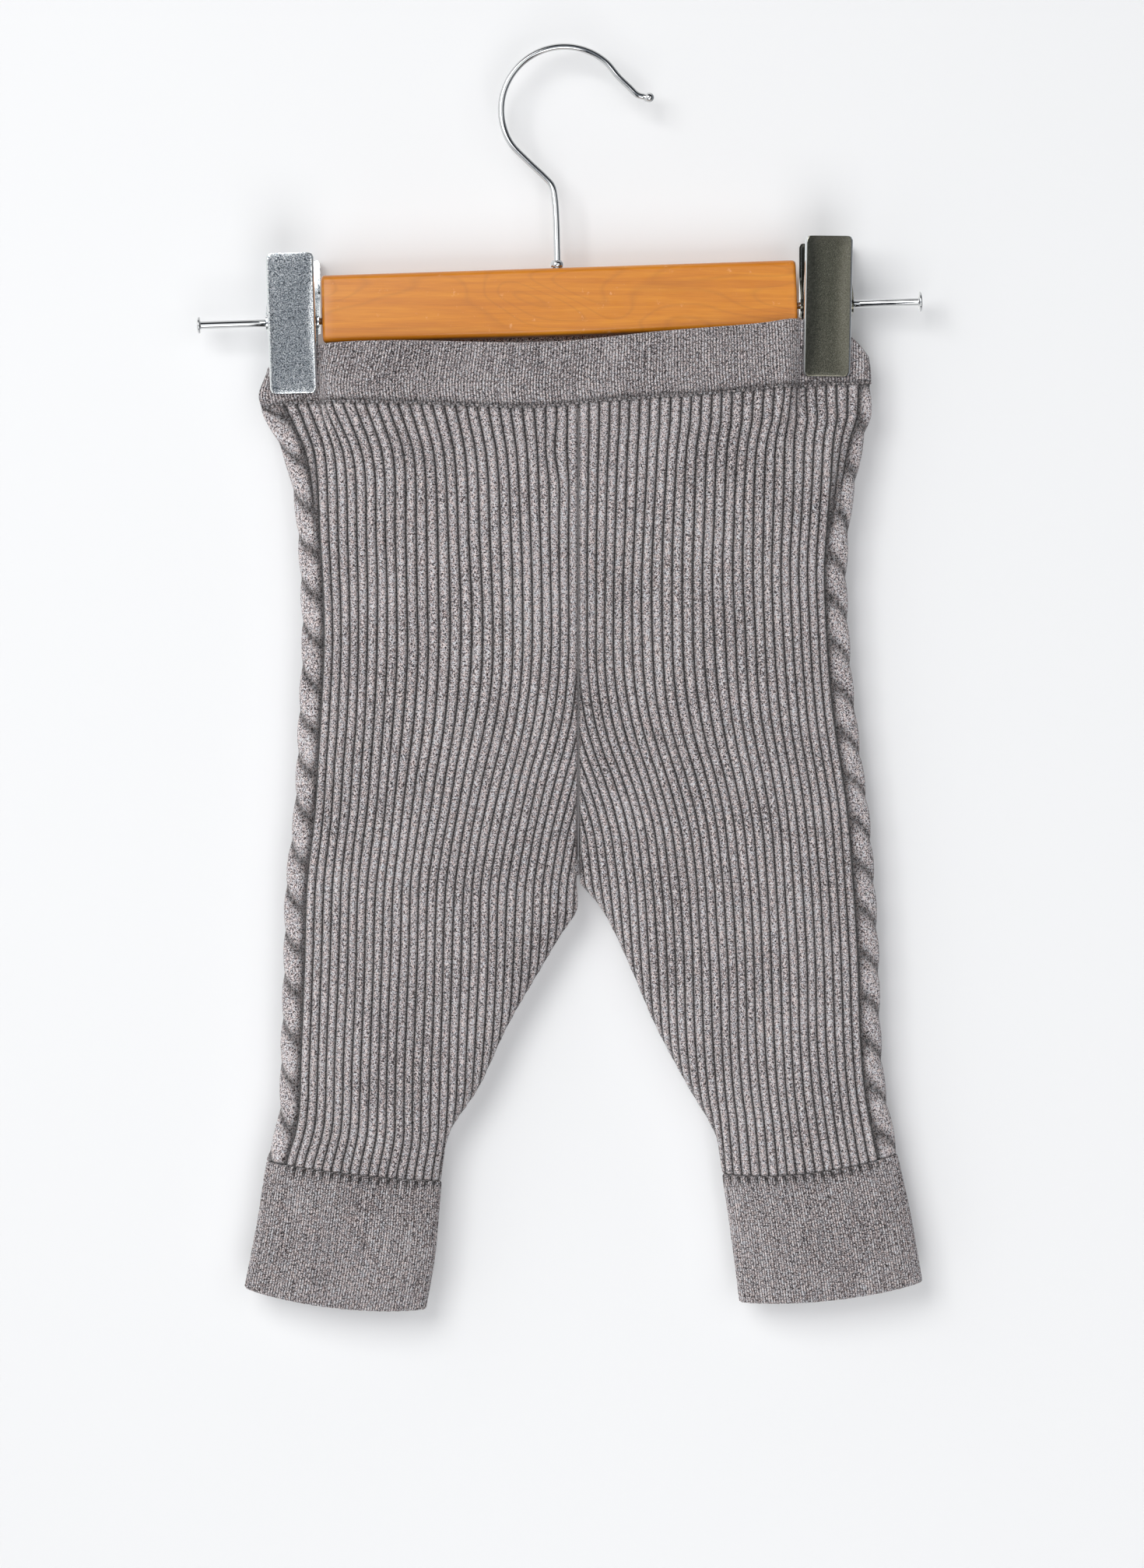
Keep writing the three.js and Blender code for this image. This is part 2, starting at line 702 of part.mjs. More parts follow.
// A rod with its nail head, lying along X from inside the bar outwards
function rod(headRadius) {
  const start = barLength / 2 - rodSeat;
  const profile = [
    [0, start],
    [rodRadius, start],
    [rodRadius, rodReach - rodHeadThickness],
    [headRadius, rodReach - rodHeadThickness],
    [headRadius * 0.92, rodReach - rodHeadThickness / 2],
    [0, rodReach],
  ].map(([x, y]) => new THREE.Vector2(x, y));
  return new THREE.LatheGeometry(profile, 16).rotateZ(-Math.PI / 2).translate(0, 0, -rodDrop);
}

// The hook: a wire from the bar up round the rail and out to a ball at its tip
function hook() {
  const arc = Array.from({ length: hookArc.points }, (_, i) => {
    const angle = radians(mix(hookArc.from, hookArc.to, i / (hookArc.points - 1)));
    return [hookCentre.x + hookRadius * Math.cos(angle), hookCentre.z + hookRadius * Math.sin(angle)];
  });
  const route = [...hookBend, ...arc, ...hookTip].map(([x, z]) => new THREE.Vector3(x, 0, z));
  const section = new THREE.Shape(
    Array.from({ length: wireSides }, (_, i) => {
      const angle = (2 * Math.PI * i) / wireSides;
      return new THREE.Vector2(wireRadius * Math.cos(angle), wireRadius * Math.sin(angle));
    }),
  );
  const wire = new THREE.ExtrudeGeometry(section, {
    steps: hookSteps,
    extrudePath: new THREE.CatmullRomCurve3(route, false, 'centripetal'),
  });
  const ball = new THREE.SphereGeometry(tipBall.radius, 14, 10).translate(tipBall.x, 0, tipBall.z);
  return geometryOf(solidOf(wire).add(solidOf(ball)));
}

function collarRing() {
  const bore = wireRadius + seamGap;
  const profile = [
    [bore, 0],
    [collar.radius * 0.9, 0],
    [collar.radius, collar.height * 0.3],
    [collar.radius, collar.height * 0.6],
    [collar.radius * 0.8, collar.height],
    [bore, collar.height],
    [bore, 0],
  ].map(([x, y]) => new THREE.Vector2(x, y));
  return new THREE.LatheGeometry(profile, 18).rotateX(Math.PI / 2);
}

// The spring coiled round a rod inside its clip, as a ridged sleeve
function spring() {
  const bore = rodRadius + 0.6;
  const turn = (2 * springHalf) / springTurns;
  const ridges = Array.from({ length: springTurns }, (_, i) => [
    [springRadius - 0.5, -springHalf + i * turn],
    [springRadius, -springHalf + (i + 0.5) * turn],
  ]).flat();
  const profile = [[bore, -springHalf], ...ridges, [springRadius - 0.5, springHalf], [bore, springHalf]];
  const points = [...profile, profile[0]].map(([x, y]) => new THREE.Vector2(x, y));
  return new THREE.LatheGeometry(points, 12).rotateZ(-Math.PI / 2);
}

// One pressed plate of a clip, about the rod at its origin: a sloping sheet with a lip that bites the cloth,
// and at each side an ear that the rod goes through
function clipPlate(earX, flangeDown) {
  const slope = (clipTopY - clipJawY) / (clipReachUp + clipReachDown);
  const inner = (z) => -(clipJawY + (z + clipReachDown) * slope);
  const top = clipReachUp;
  const foot = -clipReachDown;
  const lipTop = foot + clipLipHeight;
  const sheet = [
    [inner(top), top],
    [inner(top) - clipSheet, top],
    [inner(foot) - clipSheet, foot],
    [inner(foot) + clipLipReach, foot],
    [inner(foot) + clipLipReach, lipTop],
    [inner(lipTop), lipTop],
  ];
  const earPlate = [
    [inner(top) - clipSheet / 2, top],
    [inner(ear.neckZ) - clipSheet / 2, ear.neckZ],
    [-ear.backY, ear.throatZ],
    [ear.backY, -ear.halfHeight],
    [ear.tipY, 0],
    [ear.backY, ear.halfHeight],
    [inner(ear.rootZ) + clipFlange, ear.rootZ],
    [inner(top) + clipFlange, top],
  ];
  const rim = [
    [inner(top) - clipSheet / 2, top],
    [inner(foot) - clipSheet / 2, foot],
    [inner(foot) + clipFlange, foot],
    [inner(top) + clipFlange, top],
  ];
  const shoulder = [
    [inner(top), top],
    [inner(top) - clipSheet, top],
    [inner(ear.neckZ) - clipSheet, ear.neckZ],
    [inner(ear.neckZ), ear.neckZ],
  ];
  const half = clipSheet / 2;
  let solid = solidOf(sideProfile(sheet, clipHalfWidth)).add(solidOf(sideProfile(shoulder, earX + half)));
  for (const end of [-1, 1]) {
    solid = solid.add(solidOf(sideProfile(earPlate, half, end * earX)));
    if (flangeDown) solid = solid.add(solidOf(sideProfile(rim, half, end * earX)));
  }
  return geometryOf(solid.subtract(solidOf(alongX(rodRadius + earBore, 3 * clipHalfWidth, 0))));
}

const model = new THREE.Group();

function place(parent, name, geometry, material) {
  const mesh = new THREE.Mesh(geometry, material);
  mesh.name = name;
  parent.add(mesh);
  return mesh;
}

place(model, 'waistband', waistband(), cloth());
for (const [name, side] of Object.entries(sides)) {
  place(model, `${name}_leg_panel`, legPanel(side), cloth());
  place(model, `${name}_cuff`, cuff(side), cloth());
}

const hangerBar = new THREE.Group();
hangerBar.position.set(barCentre.x, 0, barCentre.z);
hangerBar.rotation.y = -radians(barTilt);
model.add(hangerBar);
place(hangerBar, 'wooden_bar', bar(), wood);
place(hangerBar, 'right_rod', rod(rodHeads.right), chrome());
place(hangerBar, 'left_rod', rod(rodHeads.left), chrome()).rotation.set(0, 0, Math.PI);

place(model, 'hook', hook(), chrome());
place(model, 'hook_collar', collarRing(), chrome()).position.set(hookFoot.x - 0.2, 0, collar.z);

for (const [name, clip] of Object.entries(clips)) {
  const group = new THREE.Group();
  group.position.set(clip.x, 0, clip.z);
  group.rotation.y = -radians(clip.tilt);
  model.add(group);
  place(group, `${name}_clip_front`, clipPlate(clipHalfWidth - clipSheet / 2, true), steel());
  const back = place(group, `${name}_clip_back`, clipPlate(clipHalfWidth + clipSheet / 2 + seamGap, false), steel());
  back.rotation.z = Math.PI;
  place(group, `${name}_clip_spring`, spring(), steel());
}

export default model;
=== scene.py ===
"""Baby leggings in rib knit, hung flat from a wooden clip hanger.

Sizes in the tables are millimetres, and each mesh is scaled to metres as it is made. The front faces -Y.
"""

import logging
import math
from dataclasses import dataclass
from enum import Enum

import bpy
import numpy as np
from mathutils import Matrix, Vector


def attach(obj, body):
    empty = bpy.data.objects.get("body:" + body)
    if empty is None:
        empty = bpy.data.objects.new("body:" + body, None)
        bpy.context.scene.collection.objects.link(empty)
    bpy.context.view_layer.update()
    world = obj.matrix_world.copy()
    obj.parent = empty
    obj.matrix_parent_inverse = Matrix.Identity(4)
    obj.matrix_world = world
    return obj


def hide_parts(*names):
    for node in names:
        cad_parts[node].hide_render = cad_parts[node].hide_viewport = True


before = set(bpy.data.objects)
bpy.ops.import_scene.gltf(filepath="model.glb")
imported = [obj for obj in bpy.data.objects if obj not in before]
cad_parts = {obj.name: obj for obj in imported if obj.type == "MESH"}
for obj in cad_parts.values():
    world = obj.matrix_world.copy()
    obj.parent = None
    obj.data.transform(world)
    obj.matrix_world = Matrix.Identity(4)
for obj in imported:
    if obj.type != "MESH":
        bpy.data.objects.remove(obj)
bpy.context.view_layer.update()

MM = 0.001
SEAM_GAP = 0.3
CENTRE_X = 5.0
PINCHED_DEPTH = 2.35
BAND_DEPTH = 9.0
BODY_DEPTH = 9.5
LEG_DEPTH = 8.0
HEM_DEPTH = 7.5
RELAXED_Z = -205.0
CROTCH_Z = -334.0
PINCH_HALF = 10.6
FLAT_POWER = 40
ROUND_POWER = 3

Table = dict[str, tuple[float, ...]]

RIB_PITCH: Table = {
    "z": (-133, -175, -205, -245, -290, -335, -420, -452),
    "pitch": (4.35, 4.1, 3.95, 3.85, 3.6, 3.5, 3.5, 3.75),
}
SEAM_LINE: Table = {
    "x": (-123, -105, -52, -16, 18, 55, 95, 123),
    "z": (-144.2, -141.4, -142.5, -143.8, -141, -138.6, -134.9, -133.4),
}
BAND_TOP_FRONT: Table = {
    "x": (-119.7, -108, -98, -2, 38, 79, 93, 104, 115, 121.5),
    "z": (-127.5, -120.5, -118.5, -117.5, -113.5, -110.1, -108.3, -110.5, -116, -122.8),
}
BAND_TOP_BACK: Table = {
    "x": (-119.7, -108, -98, -88, 0, 82, 92.5, 115, 121.5),
    "z": (-127.5, -121, -119, -114.5, -110.5, -108, -112.5, -117, -122.8),
}
OVERLAP: Table = {
    "z": (-268, -284, -300, -316, -327, -334),
    "past": (110, 40, 16, 5, 1.2, 0),
}

Ids = np.ndarray
Points = np.ndarray


class Side(Enum):
    """A side of the garment as the viewer sees it; the value points away from the centre."""

    LEFT = -1
    RIGHT = 1


class Face(Enum):
    """The front or the back of the flattened cloth; the value is the sign of Y."""

    FRONT = -1
    BACK = 1


@dataclass(frozen=True)
class Crease:
    """A soft trough or ridge across the cloth, from (x0, z0) to (x1, z1).

    Its depth is in millimetres, above zero for a trough, and it fades out over its width and its ends.
    """

    x0: float
    z0: float
    x1: float
    z1: float
    width: float
    depth: float


@dataclass(frozen=True)
class Clip:
    """Where a clip's rod passes through it, and how far the clip leans, in degrees."""

    x: float
    z: float
    tilt: float


@dataclass(frozen=True)
class SideSizes:
    """The tables that shape one side of the garment, from the waistband's ear to the hem."""

    side: Side
    clip: Clip
    outer: Table
    inner: Table
    rows: Table
    cuff_top: float
    hem: float
    cuff_crease: tuple[float, float, float]

    @property
    def top(self) -> float:
        """Height of the outer edge at the waist seam.

        Returns:
            The height.
        """
        return self.rows["outer"][0]

    def relax(self, z: np.ndarray) -> np.ndarray:
        """How far the cloth has opened below the clip, from 0 at the waist seam to 1 at the hip.

        Args:
            z: heights at the outer edge.

        Returns:
            The shares.
        """
        return smooth_step((self.top - z) / (self.top - RELAXED_Z))


LEFT_SIDE = SideSizes(
    side=Side.LEFT,
    clip=Clip(-109.3, -109.0, 1.3),
    outer={
        "z": (-120, -127.5, -139, -144.2, -152, -163, -180, -205, -236, -267, -304, -335, -366, -403,
              -428, -445, -465, -496),
        "x": (-119, -119.7, -123, -122, -118.5, -113.3, -109, -106.7, -105.7, -107, -108.8, -112.2,
              -113, -114.2, -115.3, -120, -123, -128.7),
    },
    inner={
        "z": (-334, -345, -354, -366, -391, -416, -434, -447, -484, -504),
        "x": (4.85, 4.7, -1.2, -8.4, -22.9, -34.7, -46.3, -48.9, -52.4, -55.7),
    },
    rows={
        "outer": (-144.2, -205, -334, -444.9, -495.8),
        "inner": (-142.5, -205, -334, -452.7, -504.1),
        "bow": (0, 0, 0, 1, 3.1),
    },
    cuff_top=-444.9,
    hem=-495.8,
    cuff_crease=(0.2, 0.07, 2.0),
)
RIGHT_SIDE = SideSizes(
    side=Side.RIGHT,
    clip=Clip(104.5, -102.2, -0.6),
    outer={
        "z": (-116, -122.8, -127, -145, -155, -168, -186, -211, -230, -255, -280, -304, -329, -360,
              -397, -416, -434, -465, -494),
        "x": (121, 121.5, 122.1, 122.3, 119.8, 117.2, 114.2, 112.5, 113.2, 115, 117.9, 121.2, 123.4,
              125.2, 126.3, 128, 131.4, 138, 142.9),
    },
    inner={
        "z": (-334, -341, -348, -366, -391, -416, -434, -447, -484, -502),
        "x": (5.15, 11.7, 16.2, 24.8, 35.6, 49, 59.3, 62, 67.3, 69.4),
    },
    rows={
        "outer": (-133.4, -205, -334, -441.8, -493.3),
        "inner": (-142.5, -205, -334, -449.9, -501.3),
        "bow": (0, 0, 0, 3.4, 2.7),
    },
    cuff_top=-441.8,
    hem=-493.3,
    cuff_crease=(0.86, 0.07, 1.4),
)

CREASES = {
    Face.FRONT: (
        Crease(-96, -150, -70, -176, 9, 0.8),
        Crease(92, -142, 66, -170, 9, 0.8),
        Crease(-20, -262, 2, -318, 8, 1.1),
        Crease(34, -268, 10, -322, 8, 1.0),
        Crease(-84, -300, -62, -352, 14, 0.7),
        Crease(66, -330, 88, -392, 15, -0.6),
        Crease(96, -236, 90, -290, 13, 0.6),
        Crease(-60, -190, -66, -248, 18, -0.6),
        Crease(-92, -398, -84, -440, 12, 0.6),
        Crease(110, -420, 116, -444, 9, 0.7),
    ),
    Face.BACK: (
        Crease(90, -146, 58, -182, 10, 1.0),
        Crease(-94, -152, -64, -184, 10, 0.9),
        Crease(-36, -236, -4, -312, 12, 1.5),
        Crease(46, -244, 14, -310, 11, 1.4),
        Crease(-96, -322, -60, -346, 12, 1.0),
        Crease(112, -330, 78, -352, 12, 0.9),
        Crease(-80, -404, -74, -440, 12, -0.7),
        Crease(92, -398, 104, -438, 12, -0.7),
    ),
}


def smooth_step(t: np.ndarray | float) -> np.ndarray:
    """Eases t from 0 to 1 with level ends: 3t squared less 2t cubed, held at 0 and 1 outside.

    Args:
        t: values to ease.

    Returns:
        The eased values.
    """
    held = np.clip(t, 0.0, 1.0)
    return held * held * (3.0 - 2.0 * held)


def bell(t: np.ndarray) -> np.ndarray:
    """A bell-shaped curve that is 1 at 0.

    Args:
        t: where to read it, in widths.

    Returns:
        Its values.
    """
    return np.exp(-(t**2))


def valleys(k: np.ndarray, narrow: float) -> np.ndarray:
    """The valleys between round ribs: 1 at whole k and 0 half way between.

    Args:
        k: place across, counted in ribs.
        narrow: a power, lower for narrower valleys.

    Returns:
        How deep they are.
    """
    return 1 - np.abs(np.sin(np.pi * k)) ** narrow


def cubic(start: np.ndarray, leave: np.ndarray, end: np.ndarray, arrive: np.ndarray, t: np.ndarray) -> np.ndarray:
    """A cubic between two values, with given slopes at both.

    Args:
        start: value where t is 0.
        leave: slope there.
        end: value where t is 1.
        arrive: slope there.
        t: where to read it.

    Returns:
        Its values.
    """
    t2, t3 = t * t, t * t * t
    return (start * (2 * t3 - 3 * t2 + 1) + leave * (t3 - 2 * t2 + t)
            + end * (3 * t2 - 2 * t3) + arrive * (t3 - t2))


def look(table: Table, by: str, at: np.ndarray | float, want: str) -> np.ndarray:
    """Reads a table with a smooth curve through its rows: a cubic between rows, whose slope at a row is
    the mean slope of its neighbours.

    Args:
        table: named columns of equal length.
        by: the column that `at` is in.
        at: where to read.
        want: the column to read.

    Returns:
        The values of column `want`.
    """
    x = np.asarray(table[by], float)
    y = np.asarray(table[want], float)
    if x[0] > x[-1]:
        x, y = x[::-1], y[::-1]
    steps = np.diff(y) / np.diff(x)
    slopes = np.concatenate([steps[:1], (steps[1:] + steps[:-1]) / 2, steps[-1:]])
    turning = np.concatenate([[False], steps[1:] * steps[:-1] <= 0, [False]])
    slopes[turning] = 0.0
    where = np.clip(np.asarray(at, float), x[0], x[-1])
    i = np.clip(np.searchsorted(x, where) - 1, 0, len(x) - 2)
    run = x[i + 1] - x[i]
    return cubic(y[i], run * slopes[i], y[i + 1], run * slopes[i + 1], (where - x[i]) / run)


def arc_lengths(x: np.ndarray, y: np.ndarray) -> np.ndarray:
    """Arc lengths along each row of points, from its first.

    Args:
        x: places along X, rows by columns.
        y: places along Y.

    Returns:
        Arc lengths, rows by columns.
    """
    steps = np.hypot(np.diff(x, axis=1), np.diff(y, axis=1))
    return np.concatenate([np.zeros((len(x), 1)), np.cumsum(steps, axis=1)], axis=1)


def resampled(wanted: np.ndarray, arcs: np.ndarray, *grids: np.ndarray) -> list[np.ndarray]:
    """Reads grids, row by row, at the arc lengths that are wanted.

    Args:
        wanted: arc lengths, rows by columns.
        arcs: the arc lengths at which the grids' values stand.
        grids: the grids.

    Returns:
        Each grid's values.
    """
    return [np.stack([np.interp(*row) for row in zip(wanted, arcs, grid)]) for grid in grids]


def layered(*layers: np.ndarray | float) -> np.ndarray:
    """Spreads values over one grid and puts them side by side at each of its points.

    Args:
        layers: the values, each a number or an array.

    Returns:
        The grid, with a last axis of as many values as layers.
    """
    return np.stack(np.broadcast_arrays(*layers), -1)


def unit(vectors: Points) -> Points:
    """Brings vectors to length 1.

    Args:
        vectors: the vectors, one a row.

    Returns:
        The unit vectors.
    """
    return vectors / np.linalg.norm(vectors, axis=1, keepdims=True)


def pinched(x: np.ndarray, clip: Clip, jaw: np.ndarray, open_depth: np.ndarray, width: np.ndarray) -> np.ndarray:
    """Half depth of the cloth beside a clip: the jaw's under the clip and beyond it, rising as a quarter
    sine to the open depth over `width` on the side towards the centre.

    Args:
        x: places across the cloth.
        clip: the clip.
        jaw: half depth where the cloth is held.
        open_depth: half depth away from the clip.
        width: how far the rise takes.

    Returns:
        Half depths.
    """
    away = np.clip((np.abs(x - clip.x) - PINCH_HALF) / width, 0, 1)
    inward = np.sign(x - clip.x) != np.sign(clip.x)
    return np.where(inward, jaw + (open_depth - jaw) * np.sin(np.pi / 2 * away), jaw)


def crease_depth(face: Face, x: np.ndarray, z: np.ndarray) -> np.ndarray:
    """How far the creases sink one face of the cloth: each a bell across its line, fading at both ends.

    Args:
        face: front or back.
        x: places across.
        z: heights.

    Returns:
        Depths in millimetres, towards the middle of the garment.
    """
    total = np.zeros(np.broadcast(x, z).shape)
    for crease in CREASES[face]:
        run = np.array([crease.x1 - crease.x0, crease.z1 - crease.z0])
        length = float(np.hypot(*run))
        along = ((x - crease.x0) * run[0] + (z - crease.z0) * run[1]) / length**2
        across = ((x - crease.x0) * run[1] - (z - crease.z0) * run[0]) / length
        ends = smooth_step((along + 0.25) / 0.5) * smooth_step((1.25 - along) / 0.5)
        total += crease.depth * ends * bell(across / crease.width)
    return total


@dataclass
class Outlines:
    """Half outlines of many rows of one side, from the outer edge round the front to the centre."""

    x: np.ndarray
    y: np.ndarray
    inward_x: np.ndarray
    inward_y: np.ndarray
    lengths: np.ndarray
    sizes: SideSizes
    outer_z: np.ndarray
    cut_x: np.ndarray
    edge_x: np.ndarray

    @property
    def length(self) -> np.ndarray:
        """Arc length of each row's half outline.

        Returns:
            Arc lengths.
        """
        return self.lengths[:, -1]

    def height(self, x: np.ndarray) -> np.ndarray:
        """Height of the cloth's rows at x: a line from the outer to the inner edge, bowed down in the
        middle, which follows the waist seam at the top.

        Args:
            x: places across, one row of values for each row of cloth.

        Returns:
            Heights.
        """
        rows, top = self.sizes.rows, self.sizes.top
        outer = self.outer_z[:, None]
        inner = look(rows, "outer", outer, "inner")
        bow = np.interp(-outer, -np.array(rows["outer"]), rows["bow"])
        t = np.clip((x - self.edge_x[:, None]) / (self.cut_x - self.edge_x)[:, None], 0, 1)
        plain = outer + (inner - outer) * t - bow * (1 - (2 * t - 1) ** 2)
        fade = np.clip(1 - (top - outer) / 45.0, 0, 1)
        seam = look(SEAM_LINE, "x", x, "z") - (top + (rows["inner"][0] - top) * t)
        return plain + fade * seam

    def at(self, s: np.ndarray, sink: np.ndarray, face: Face) -> Points:
        """Points at arc lengths s from the outer edge, sunk into the cloth.

        Args:
            s: arc lengths, a row for each row of cloth.
            sink: how far each point lies inside the outline.
            face: front or back.

        Returns:
            Points in millimetres, rows by columns by three.
        """
        held = np.minimum(np.abs(s), self.length[:, None])
        x, y, nx, ny = resampled(held, self.lengths, self.x, self.y, self.inward_x, self.inward_y)
        z = self.height(x)
        deep = sink + crease_depth(face, x, z) * np.clip(np.abs(ny), 0, 1) ** 2
        return np.stack([x + nx * deep, -face.value * (y + ny * deep), z], axis=-1)


def outlines(sizes: SideSizes, outer_z: np.ndarray, inset: np.ndarray | float) -> Outlines:
    """Works out the half outline of each row. The section is an oval, y = depth times the square root of
    1 - |u|^n, which is blunt and thin under the clip and rounds out below; above the crotch it runs on
    past the centre seam and is cut there.

    Args:
        sizes: the side's tables.
        outer_z: height of each row at the outer edge.
        inset: how far inside the outer surface the outline runs.

    Returns:
        The rows' outlines.
    """
    sign = sizes.side.value
    z = np.asarray(outer_z, float)
    inner_z = look(sizes.rows, "outer", z, "inner")
    relax = sizes.relax(z)
    edge = look(sizes.outer, "z", z, "x")
    above = inner_z > CROTCH_Z
    past = np.where(above, np.minimum(np.interp(-inner_z, -np.array(OVERLAP["z"]), OVERLAP["past"]),
                                      np.abs(edge - CENTRE_X)), 0)
    cut = np.where(above, CENTRE_X + sign * SEAM_GAP / 2, look(sizes.inner, "z", inner_z, "x"))
    middle = (edge + cut - sign * past) / 2
    half = np.abs(edge - cut + sign * past) / 2 - inset
    power = FLAT_POWER + (ROUND_POWER - FLAT_POWER) * np.sqrt(relax)
    hips = BAND_DEPTH + (BODY_DEPTH - BAND_DEPTH) * relax
    legs = LEG_DEPTH + (HEM_DEPTH - LEG_DEPTH) * smooth_step((CROTCH_Z - 40 - z) / 90)
    open_depth = hips + (legs - hips) * smooth_step((-250 - z) / 90)
    jaw = PINCHED_DEPTH + (open_depth - PINCHED_DEPTH) * relax
    spread = 6 + 54 * relax
    cut_u = np.clip((cut - middle) / (sign * half), -1, 1)
    t = np.linspace(0, 1, 420)[None, :]
    u = np.cos(np.arccos(cut_u)[:, None] * t)
    x = middle[:, None] + sign * half[:, None] * u
    wide = np.asarray(inset) if np.ndim(inset) == 0 else np.asarray(inset)[:, None]
    depth = pinched(x, sizes.clip, jaw[:, None], open_depth[:, None], spread[:, None]) - wide
    y = -depth * np.sqrt(np.maximum(0, 1 - np.abs(u) ** power[:, None]))
    dx, dy = np.gradient(x, axis=1), np.gradient(y, axis=1)
    run = np.hypot(dx, dy) + 1e-9
    return Outlines(x, y, sign * dy / run, -sign * dx / run, arc_lengths(x, y), sizes, z, cut, edge)


def grid_faces(ids: Ids) -> Ids:
    """Two triangles for each cell of a grid of vertex numbers, less those with a repeated corner.

    Args:
        ids: vertex numbers, rows by columns.

    Returns:
        Triangles, one a row.
    """
    a, b, c, d = ids[:-1, :-1], ids[:-1, 1:], ids[1:, 1:], ids[1:, :-1]
    faces = np.concatenate([np.stack(corners, -1).reshape(-1, 3) for corners in ((a, b, c), (a, c, d))])
    whole = (faces[:, 0] != faces[:, 1]) & (faces[:, 1] != faces[:, 2]) & (faces[:, 0] != faces[:, 2])
    return faces[whole]


def zip_faces(a: Ids, a_keys: np.ndarray, b: Ids, b_keys: np.ndarray) -> Ids:
    """Triangles between two lines of vertices, each sorted by its keys: the line whose next key comes
    first takes the next step.

    Args:
        a: vertex numbers of the first line.
        a_keys: their keys.
        b: vertex numbers of the second line.
        b_keys: their keys.

    Returns:
        Triangles, one a row.
    """
    order = np.argsort(np.concatenate([a_keys[1:], b_keys[1:]]), kind="stable")
    on_a = order < len(a) - 1
    i = np.cumsum(on_a) - on_a
    j = np.cumsum(~on_a) - ~on_a
    step_a = np.stack([a[i[on_a]], a[i[on_a] + 1], b[j[on_a]]], -1)
    step_b = np.stack([a[i[~on_a]], b[j[~on_a] + 1], b[j[~on_a]]], -1)
    return np.concatenate([step_a, step_b])


def faced_out(points: Points, faces: Ids) -> Ids:
    """Turns a closed shape's triangles to face outwards.

    Args:
        points: the shape's points.
        faces: its triangles, all turned one way.

    Returns:
        The triangles.
    """
    corners = points[faces]
    volume = np.einsum("ij,ij->", corners[:, 0], np.cross(corners[:, 1], corners[:, 2]))
    return faces if volume > 0 else faces[:, ::-1]


def make_piece(name: str, points: Points, faces: Ids, knit: Points | None = None) -> bpy.types.Object:
    """Makes a closed, smoothly shaded mesh whose faces point outwards.

    Args:
        name: the object's name.
        points: vertices in millimetres.
        faces: triangles.
        knit: for each vertex its wale, its course and how far up it lies on its rib, from 0 to 1, which the material
            paints as shade, darker where it is low.

    Returns:
        The object, linked to the scene.
    """
    used, inverse = np.unique(faces, return_inverse=True)
    points = points[used]
    faces = faced_out(points, inverse.reshape(-1, 3))
    mesh = bpy.data.meshes.new(name)
    mesh.vertices.add(len(points))
    mesh.vertices.foreach_set("co", (points * MM).ravel())
    mesh.loops.add(faces.size)
    mesh.loops.foreach_set("vertex_index", faces.ravel())
    mesh.polygons.add(len(faces))
    mesh.polygons.foreach_set("loop_start", np.arange(0, faces.size, 3))
    mesh.polygons.foreach_set("use_smooth", np.ones(len(faces), bool))
    mesh.update(calc_edges=True)
    if knit is not None:
        layer = mesh.attributes.new("knit", "FLOAT_VECTOR", "POINT")
        layer.data.foreach_set("vector", knit[used].astype(np.float32).ravel())
    piece = bpy.data.objects.new(name, mesh)
    bpy.context.scene.collection.objects.link(piece)
    return piece


def wander(across: np.ndarray, along: np.ndarray, seed: float) -> np.ndarray:
    """A slow, uneven wave between about -1 and 1, the sum of four sines of unlike lengths.

    Args:
        across: places across, in ribs or millimetres.
        along: places along, in millimetres.
        seed: shifts the wave.

    Returns:
        The wave's values.
    """
    return (
        0.36 * np.sin(across * 0.83 + along / 13.0 + seed)
        + 0.28 * np.sin(across * 0.31 - along / 29.0 + 2.1 * seed)
        + 0.22 * np.sin(across * 1.91 + along / 41.0 + 3.7 * seed)
        + 0.14 * np.sin(across * 0.57 - along / 6.3 + 5.3 * seed)
    )


